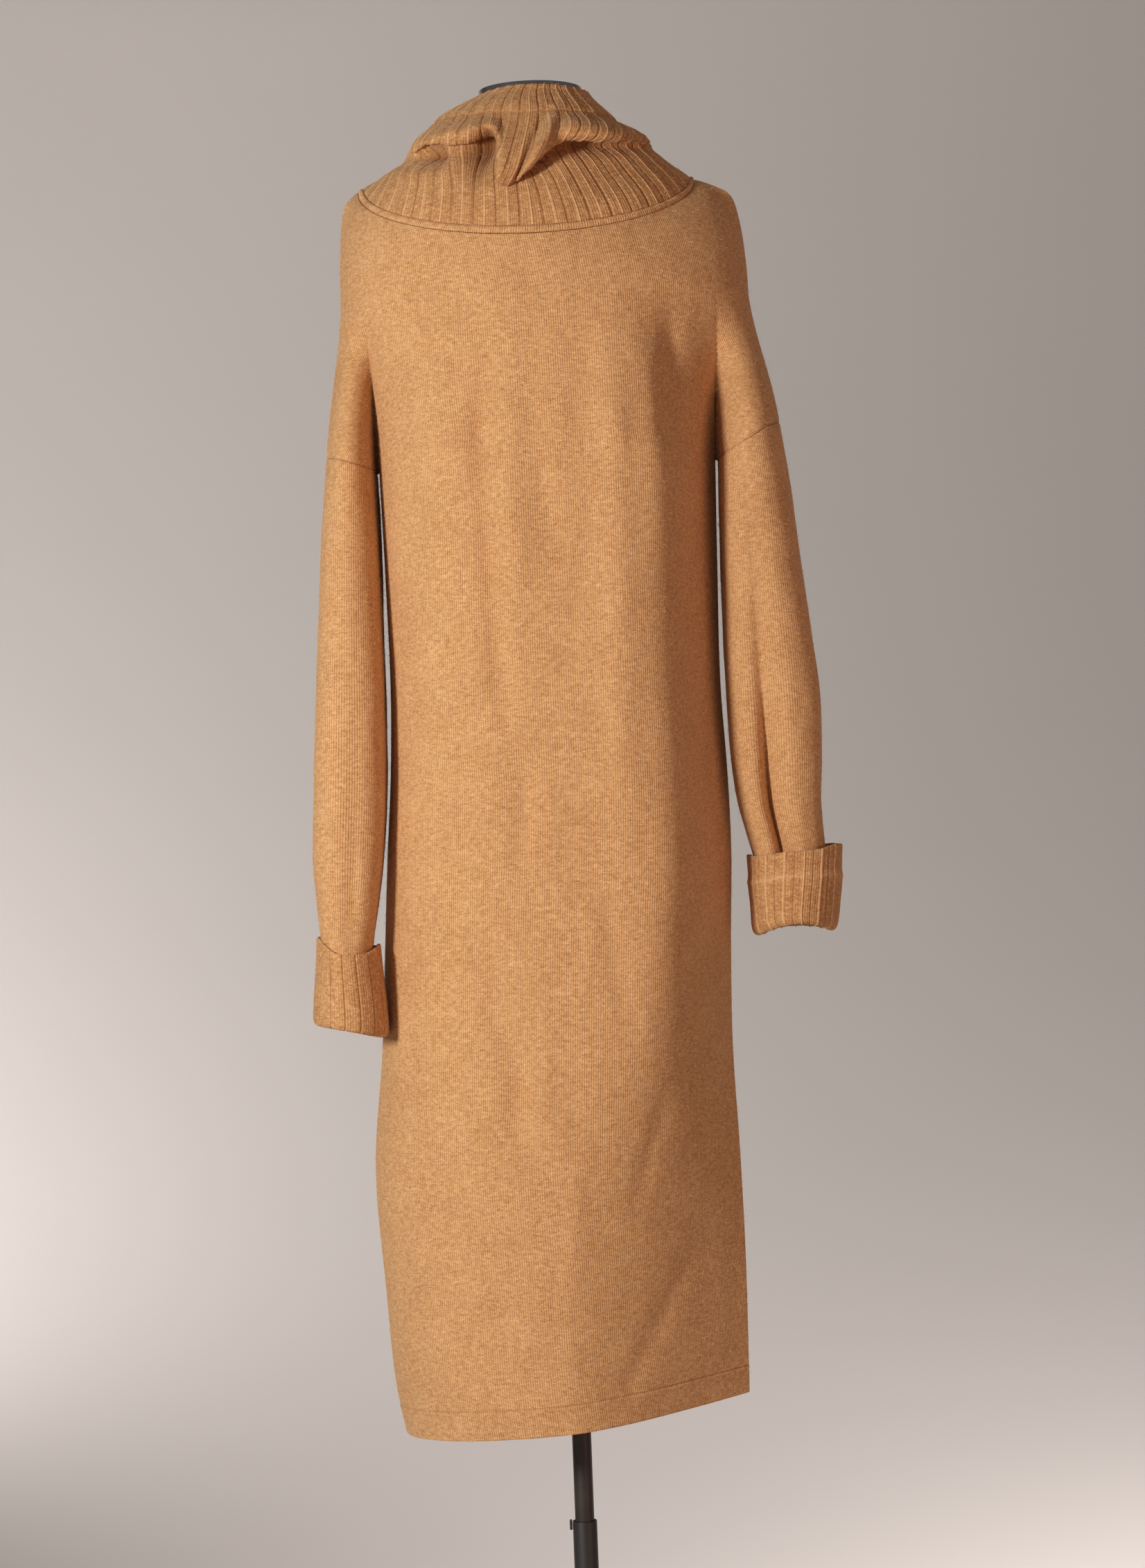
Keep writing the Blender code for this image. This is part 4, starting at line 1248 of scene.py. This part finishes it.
@dataclass
class Cuff:
    """A rib cuff turned back on itself."""

    name: str
    rows: tuple
    finish: bpy.types.Material
    repeats: int = 15
    rings: int = 50
    waver: float = 0.035  # how far its ribs sway, in radians
    flare: float = 0.9  # how uneven its free edge is
    sunk: float = 0.8  # share of the collar's rib depth
    ledge: float = 0.0  # the row of its linking line, if it shows
    rib: RibPattern = field(default_factory=RibPattern)

    def build(self) -> None:
        """Makes and enters the cuff."""
        last = len(self.rows) - 1
        at = np.concatenate(((0, 0.01, 0.04), np.linspace(0.07, last - 0.07, self.rings)))
        at = np.concatenate((at, (last - 0.04, last - 0.01, last)))
        values = read_rows(self.rows, at)
        z_outer, z_inner, z_front, outer, inner, front, back = values.T[:, :, None]
        phase = self.rib.phases(self.repeats)
        angle = 2 * math.pi * phase[None] / self.repeats
        row = at[:, None]
        bend = np.sin(1.1 * row + 3 * np.sin(angle)) * (row - 3).clip(0, 1)
        angle = angle + self.waver * bend
        reach = np.sin(angle)
        x = between(outer, inner, np.cos(angle))
        y = (back - front) / 2 - (back + front) / 2 * reach
        sag = z_front - (z_outer + z_inner) / 2
        z = between(z_outer, z_inner, np.cos(angle))
        z = z + np.where(reach > 0, sag, 0.4 * sag) * reach**2
        z = z + self.flare * np.sin(5 * angle - 1.3) * (row - 5.5).clip(0, 1)
        rings = np.stack((x, y, z), axis=2)
        outward = normals_of(rings)
        wall = CLOTH * thinned(len(rings), (0.35, 0.7, 0.92, 1.0))
        lift = np.broadcast_to(self.rib.height(phase)[None] * self.sunk, rings.shape[:2])
        # Painted highlight on the raised rib lines and painted shade in the grooves.
        tone = np.broadcast_to(self.rib.tone(phase)[None], rings.shape[:2])
        if self.ledge:
            line = bell(row - self.ledge, 0.1)
            lift = lift + 1.1 * past(row - self.ledge, 0.05) - 0.9 * line
            # Painted shade along the linking line.
            tone = tone * (1 - 0.4 * line) - 0.5 * line
        piece = tube_piece(self.name + "_rib", rings, wall, lift, tone, self.finish, outward)
        enter(piece, Slot.RIB, self.name)


@dataclass
class Neck:
    """The neck binding and the slouchy rib collar that rises from it."""

    shell: DressShell
    knit: bpy.types.Material
    rib_finish: bpy.types.Material
    repeats: int = 43
    columns: int = 372  # of the binding
    rings: int = 60
    band_from: float = 9.0  # the row where the collar is doubled
    beak_at: float = -9.0
    beak_left: float = 14.0  # its width on each side
    beak_right: float = 25.0
    swirl: float = 0.10  # how far the ribs right of the beak are drawn towards it
    gather: float = 0.42  # how much closer the ribs are at the front's middle
    gap: float = 0.6
    full_shade_dent: float = 14.0  # a dent this deep gets the full painted shade
    rib: RibPattern = field(default_factory=RibPattern)

    def collar_points(self, at: np.ndarray, turn: np.ndarray) -> tuple[np.ndarray, np.ndarray]:
        """Rings of the collar's middle surface.

        Args:
            at: fractional row numbers.
            turn: for each row, angles round from the left end by the front.

        Returns:
            Rows of points, and how sunk each one is, from 0 to 1, which sets the painted shade in the
            front's dents.
        """
        values = read_rows(COLLAR, at)
        columns = values.T[:, :, None]
        left, right, front, back, z_left, z_right, z_front, z_back = columns[:8]
        drop, reach, shift = columns[8:]
        row = at[:, None]
        sine = np.sin(turn)
        depth = np.abs(sine)
        facing = sine > 0
        x = between(left, right, np.cos(turn))
        y = np.where(facing, -front, back) * depth
        side = between(z_left, z_right, np.cos(turn))
        toward = depth ** (1 + row / (len(COLLAR) - 1))
        z = side + (np.where(facing, z_front, z_back) - side) * toward
        beside = x - self.beak_at
        right_side = np.exp(-((np.maximum(beside, 0) / self.beak_right) ** 3))
        beak = np.where(beside < 0, bell(beside, self.beak_left), right_side) * facing
        push = np.zeros_like(x)
        lift = np.zeros_like(x)
        for crush in CRUSHES:
            away = row - crush.row
            beside = x - crush.x - crush.slant * away
            share = bell(beside, crush.width) * bell(away, crush.rows)
            push += crush.height * share
            lift += crush.rise * share * facing
        push -= 2.2 * bell(row - self.band_from + 0.55, 0.5)
        push *= np.clip(3 * sine + 0.5, 0, 1)
        y = y - reach * beak
        grown = 1 + push / np.hypot(x, y)
        points = np.stack((x * grown + shift * beak, y * grown, z - drop * beak + lift), axis=2)
        # The second share sets the painted shade in the front's dents.
        return points, (-push / self.full_shade_dent).clip(0, 1) * facing

    def collar(self) -> None:
        """Makes and enters the collar."""
        last = len(COLLAR) - 1
        at = np.concatenate(((0, 0.02, 0.06), np.linspace(0.12, last - 0.12, self.rings)))
        at = np.concatenate((at, self.band_from + np.array((-0.1, 0, 0.1))))
        at = np.sort(np.concatenate((at, (last - 0.06, last - 0.02, last))))
        phase = self.rib.phases(self.repeats)
        around = phase / self.repeats * 2 - 0.5  # 0 at the middle of the front
        around = (around + 1) % 2 - 1
        slope = 1 + self.gather * (at / self.band_from).clip(0, 1)[:, None] ** 1.5
        around = around[None] + (slope - 1) * (around * (1 - np.abs(around)))[None]
        drawn = bell(at - 4.3, 2.4)[:, None] * self.swirl
        inside = around.clip(0, 1)
        around = around - drawn * 2.2 * np.sqrt(inside + 0.01) * (1 - inside) ** 1.5
        rings, sunk = self.collar_points(at, math.pi * (around + 0.5))
        beyond = at - self.band_from
        line = bell(beyond, 0.09)[:, None]
        lift = self.rib.height(phase)[None] * (1 - 0.6 * line) - 1.1 * line
        # Painted highlight on the raised rib lines; painted shade in the grooves, along the band's
        # linking line and in the front's dents.
        tone = self.rib.tone(phase)[None] * (1 - 0.5 * line) - 0.5 * line - 1.3 * sunk
        wall = CLOTH + (DOUBLED - 0.6 - CLOTH) * past(beyond, 0.06)
        wall = wall * thinned(len(at), (0.3, 0.65, 0.9, 1.0))
        piece = tube_piece("collar_rib", rings, wall, lift, tone, self.rib_finish)
        enter(piece, Slot.RIB, "collar")

    def binding(self) -> None:
        """Makes and enters the narrow band at the neck."""
        turn = np.linspace(0, 2 * math.pi, 4 * self.columns, endpoint=False)
        facing = np.sin(turn) > 0
        front = self.shell.neckline(turn, -1)
        back = self.shell.neckline(-turn, 1)
        low = np.where(facing[:, None], front, back)
        high = self.collar_points(np.zeros(1), turn[None])[0][0]
        way = high - low
        length = np.linalg.norm(way, axis=1, keepdims=True)
        start = low + way * self.gap / length
        end = high - way * 0.5 * self.gap / length
        shares = np.array((0, 0.06, 0.2, 0.5, 0.8, 0.94, 1))
        rings = start[None] + (end - start)[None] * shares[:, None, None]
        swell = 0.9 * np.sin(np.pi * shares)
        column = np.cos(math.pi / 2 * np.arange(len(turn)))[None]
        lift = swell[:, None] * (1 + 0.45 * column)
        wall = (CLOTH + 0.4) * thinned(len(shares), (0.35, 0.7, 1.0))
        # Painted highlight on the raised columns and painted shade on the sunk ones.
        relief = 0.6 * column * swell[:, None]
        piece = tube_piece("neck_binding_knit", rings, wall, lift, relief, self.knit)
        enter(piece, Slot.KNIT, "neck_binding")

    def build(self) -> None:
        """Makes both pieces."""
        self.binding()
        self.collar()


# ---------------------------------------------------------------- form and stand


def only(obj: bpy.types.Object) -> None:
    """Selects one object and makes it active."""
    bpy.ops.object.select_all(action="DESELECT")
    obj.select_set(True)
    bpy.context.view_layer.objects.active = obj


def select_faces(obj: bpy.types.Object, wanted: Callable[[bmesh.types.BMFace], bool]) -> None:
    """In edit mode, selects the faces that a test picks and nothing else."""
    bpy.ops.mesh.select_mode(type="FACE")
    bpy.ops.mesh.select_all(action="DESELECT")
    shape = bmesh.from_edit_mesh(obj.data)
    for face in shape.faces:
        face.select_set(wanted(face))
    bmesh.update_edit_mesh(obj.data)


@dataclass
class TurnedPart:
    """A hard piece that starts as a cylinder and is shaped on its top face."""

    node: str  # the CAD node that it stands for
    radius: float
    bottom: float
    top: float
    sides: int = 96

    def start(self) -> bpy.types.Object:
        """Adds the cylinder and enters edit mode."""
        bpy.ops.object.select_all(action="DESELECT")
        bpy.ops.mesh.primitive_cylinder_add(
            vertices=self.sides,
            radius=self.radius * MM,
            depth=(self.top - self.bottom) * MM,
            location=(0, 0, (self.top + self.bottom) / 2 * MM),
        )
        obj = bpy.context.active_object
        obj.name = obj.data.name = self.node + "_turned"
        bpy.ops.object.transform_apply(location=True, rotation=True, scale=True)
        bpy.ops.object.mode_set(mode="EDIT")
        return obj

    def shape_top(self, obj: bpy.types.Object, steps: tuple) -> None:
        """Insets the top face and moves it, once for each (inset, rise) in millimetres."""
        select_faces(obj, lambda face: face.normal.z > 0.9)
        for inset, rise in steps:
            if inset:
                bpy.ops.mesh.inset(thickness=inset * MM, depth=0)
            if rise:
                bpy.ops.mesh.extrude_region_move(
                    TRANSFORM_OT_translate={"value": (0, 0, rise * MM)}
                )

    def end(self, obj: bpy.types.Object, edge: float, finish: bpy.types.Material) -> None:
        """Leaves edit mode, rounds the edges and gives the finish.

        Args:
            obj: the piece.
            edge: the rounding in millimetres.
            finish: the material.
        """
        bpy.ops.object.mode_set(mode="OBJECT")
        only(obj)
        bevel = obj.modifiers.new("edges", "BEVEL")
        bevel.width = edge * MM
        bevel.segments = 3
        bevel.limit_method = "ANGLE"
        bevel.angle_limit = math.radians(35)
        bpy.ops.object.modifier_apply(modifier="edges")
        bpy.ops.object.shade_smooth_by_angle(angle=math.radians(35))
        obj.data.materials.clear()
        obj.data.materials.append(finish)

    def build(self, steps: tuple, edge: float, finish: bpy.types.Material, slot: Slot) -> None:
        """Makes and enters the piece.

        Args:
            steps: (inset, rise) of its top face, one after the other, in millimetres.
            edge: the rounding in millimetres.
            finish: the material.
            slot: its slot.
        """
        obj = self.start()
        self.shape_top(obj, steps)
        self.end(obj, edge, finish)
        enter(obj, slot, self.node)


@dataclass
class FormAndStand:
    """The limbless form with its neck cap, the pole and the base."""

    cover: bpy.types.Material
    chrome: bpy.types.Material
    tube: bpy.types.Material
    black: bpy.types.Material
    cap_radius: float = 47.5
    cap_low: float = 1727.4
    cap_top: float = 1741.5
    form_bottom: float = 820.0
    inner_radius: float = 8.85
    inner_bottom: float = 69.0
    outer_radius: float = 11.2
    outer_wall: float = 1.7
    outer_top: float = 420.0
    outer_bore: float = 360.0
    base_radius: float = 165.0
    base_height: float = 9.0
    hub_radius: float = 24.0
    hub_height: float = 30.0
    gap: float = 0.4  # between pieces that meet

    def torso(self) -> None:
        """A smooth copy of the CAD's torso."""
        obj = add_object("form_torso_cover", frame["nodes"]["form_torso"].data.copy())
        only(obj)
        bpy.ops.object.mode_set(mode="EDIT")
        bpy.ops.mesh.select_all(action="SELECT")
        bpy.ops.mesh.remove_doubles(threshold=1e-5)
        bpy.ops.mesh.tris_convert_to_quads()
        bpy.ops.object.mode_set(mode="OBJECT")
        smooth = obj.modifiers.new("smooth", "SUBSURF")
        smooth.levels = smooth.render_levels = 2
        bpy.ops.object.modifier_apply(modifier="smooth")
        obj.data.shade_smooth()
        obj.data.materials.clear()
        obj.data.materials.append(self.cover)
        enter(obj, Slot.FORM_COVER, "form_torso")

    def cap(self) -> None:
        """The polished cap on the form's neck, with a shallow dish in its top."""
        part = TurnedPart("neck_cap", self.cap_radius, self.cap_low, self.cap_top)
        dish = ((4.5, 0), (2.0, -2.0), (30.0, 0.6), (4.0, -0.4))
        part.build(dish, 1.1, self.chrome, Slot.CAP)

    def pole(self) -> None:
        """The grey inner tube and the black outer tube that it slides in."""
        top = self.form_bottom - self.gap
        inner = TurnedPart("inner_tube", self.inner_radius, self.inner_bottom, top, 64)
        inner.build(((1.2, 0),), 0.4, self.tube, Slot.TUBE)
        bottom = self.base_height + self.gap
        outer = TurnedPart("outer_tube", self.outer_radius, bottom, self.outer_top, 64)
        mouth = ((self.outer_wall, 0), (0, -self.outer_bore))
        outer.build(mouth, 0.5, self.black, Slot.BLACK)

    def base(self) -> None:
        """The round base plate with its hub."""
        part = TurnedPart("stand_base", self.base_radius, 0.0, self.base_height, 160)
        flange = self.base_radius - self.hub_radius
        rim = self.hub_radius - self.outer_radius - self.gap
        rise = self.hub_height - self.base_height
        part.build(((flange, rise), (rim, -rise)), 1.6, self.black, Slot.BLACK)

    def clip(self) -> None:
        """The spring catch beside the outer tube's mouth keeps its CAD shape."""
        node = frame["nodes"]["tube_clip"]
        node.data.materials.clear()
        node.data.materials.append(self.black)

    def build(self) -> None:
        """Makes and enters all of it."""
        self.torso()
        self.cap()
        self.pole()
        self.base()
        self.clip()


# ---------------------------------------------------------------- studio


@dataclass
class Studio:
    """Backdrop, lights and camera."""

    camera_place: tuple = (0.0147, -3.2, 1.10)
    lens: float = 79.54
    lean: float = 2.2  # degrees the picture leans
    wall: float = 6.3  # beyond the furthest place that a camera behind the object needs
    wall_height: float = 12.0
    floor_end: float = 1.6  # the sweep starts to rise here
    rise: float = 3.2  # and stands upright at this height
    reach: float = 12.0  # of the floor, forwards and to each side

    def backdrop(self) -> None:
        """A seamless pale sweep behind and under the object."""
        arc = np.linspace(0, math.pi / 2, 48)
        run = self.wall - self.floor_end
        profile = [(-self.reach, 0.0)]
        profile += [
            (self.floor_end + run * math.sin(a), self.rise * (1 - math.cos(a))) for a in arc
        ]
        profile.append((self.wall, self.wall_height))
        points = [(x, y, z) for x in (-self.reach, self.reach) for y, z in profile]
        count = len(profile)
        faces = [(i, count + i, count + i + 1, i + 1) for i in range(count - 1)]
        mesh = bpy.data.meshes.new("backdrop")
        mesh.from_pydata(points, [], faces)
        mesh.shade_smooth()
        made, maker, shader = new_material("backdrop_paper")
        place = maker.object_place()
        share = maker.maths("MULTIPLY", maker.noise(place, 1.4, 2.0), 0.35)
        colour = maker.blend(share, (0.62, 0.59, 0.56, 1), (0.56, 0.53, 0.50, 1))
        maker.feed(shader, {"Base Color": colour, "Roughness": 0.95, "Specular IOR Level": 0.1})
        mesh.materials.append(made)
        add_object("backdrop", mesh)

    def lamp(
        self, name: str, place: tuple, target: tuple, size: float, power: float, colour: tuple
    ) -> None:
        """Adds a soft square light.

        Args:
            name: its name.
            place: where it is.
            target: what it points at.
            size: its side.
            power: in watts.
            colour: of its light.
        """
        data = bpy.data.lights.new(name, "AREA")
        data.size = size
        data.energy = power
        data.color = colour
        obj = add_object(name, data)
        obj.location = place
        obj.visible_camera = False  # a camera behind the object would see the backdrop's lamps
        way = np.array(target) - np.array(place)
        obj.rotation_mode = "QUATERNION"
        obj.rotation_quaternion = Vector(way).to_track_quat("-Z", "Y")

    def lights(self) -> None:
        """Key from the left, a wide warm fill from the right, and light on the backdrop."""
        self.lamp("key", (-1.36, -1.78, 1.42), (0, 0, 1.05), 0.3, 43, (1.0, 0.97, 0.93))
        self.lamp("fill", (2.5, -2.6, 1.2), (0, 0, 1.1), 2.0, 22, (1.0, 0.49, 0.36))
        self.lamp("backdrop_glow", (-2.6, 3.0, 1.3), (-0.4, 6.0, 1.1), 2.3, 88, (1, 0.96, 0.95))
        self.lamp("backdrop_low", (1.2, 0.8, 1.2), (0.0, 3.4, 0.5), 1.6, 48, (1, 0.935, 0.92))
        world = bpy.context.scene.world or bpy.data.worlds.new("studio")
        bpy.context.scene.world = world
        world.use_nodes = True
        shade = world.node_tree.nodes["Background"]
        shade.inputs["Color"].default_value = (1.0, 0.93, 0.89, 1.0)
        shade.inputs["Strength"].default_value = 0.18
        bpy.context.scene.view_settings.view_transform = "Standard"

    def camera(self) -> None:
        """The camera, level and slightly rolled to lean the picture."""
        data = bpy.data.cameras.new("camera")
        data.lens = self.lens
        data.sensor_width = 36.0
        data.clip_end = 50.0
        obj = add_object("camera", data)
        turn = math.radians(self.lean)
        right = (math.cos(turn), 0.0, -math.sin(turn))
        up = (math.sin(turn), 0.0, math.cos(turn))
        back = (0.0, -1.0, 0.0)
        placed = Matrix((right, up, back)).transposed().to_4x4()
        placed.translation = self.camera_place
        obj.matrix_world = placed
        bpy.context.scene.camera = obj

    def build(self) -> None:
        """Sets it all up."""
        self.backdrop()
        self.lights()
        self.camera()


def main() -> None:
    """Builds the classes in order."""
    logging.basicConfig(level=logging.INFO, format="%(message)s", stream=sys.stdout)
    Studio().build()
    knit = KnitFinish("camel_knit").build()
    rib = KnitFinish(
        "camel_rib_knit",
        mid=(0.53, 0.262, 0.102, 1.0),
        deep=(0.27, 0.105, 0.035, 1.0),
        stitch_share=0.14,
        highlight_share=0.8,
        shade_share=0.6,
    ).build()
    shell = DressShell(knit)
    shell.build()
    grooved = RibPattern(ridge=0.2, painted_highlight=0.1)
    Cuff("cuff_left", LEFT_CUFF, rib, rib=grooved).build()
    Cuff("cuff_right", RIGHT_CUFF, rib, ledge=6.0).build()
    Neck(shell, knit, rib).build()
    nap = Nap(FibreFinish().build())
    cloths = sorted((obj for obj in bpy.data.objects if SHOWN in obj), key=lambda obj: obj.name)
    for seed, cloth in enumerate(cloths):
        nap.grow(cloth, Slot.RIB if "rib" in cloth.name else Slot.KNIT, seed)
        del cloth[SHOWN]
    chrome = MetalFinish("polished_cap", (0.30, 0.30, 0.31, 1), (0.4, 0.4, 0.41, 1), 0.15, marks=0.05)
    grey = MetalFinish("tube_grey_metal", (0.05, 0.043, 0.038, 1), (0.08, 0.07, 0.06, 1), 0.42, 0.6)
    black = PaintFinish("stand_black_paint", (0.014, 0.012, 0.011, 1), (0.05, 0.045, 0.04, 1), 0.5)
    finishes = [finish.build() for finish in (CoverFinish(), chrome, grey, black)]
    FormAndStand(*finishes).build()


if __name__ == "__main__":
    main()
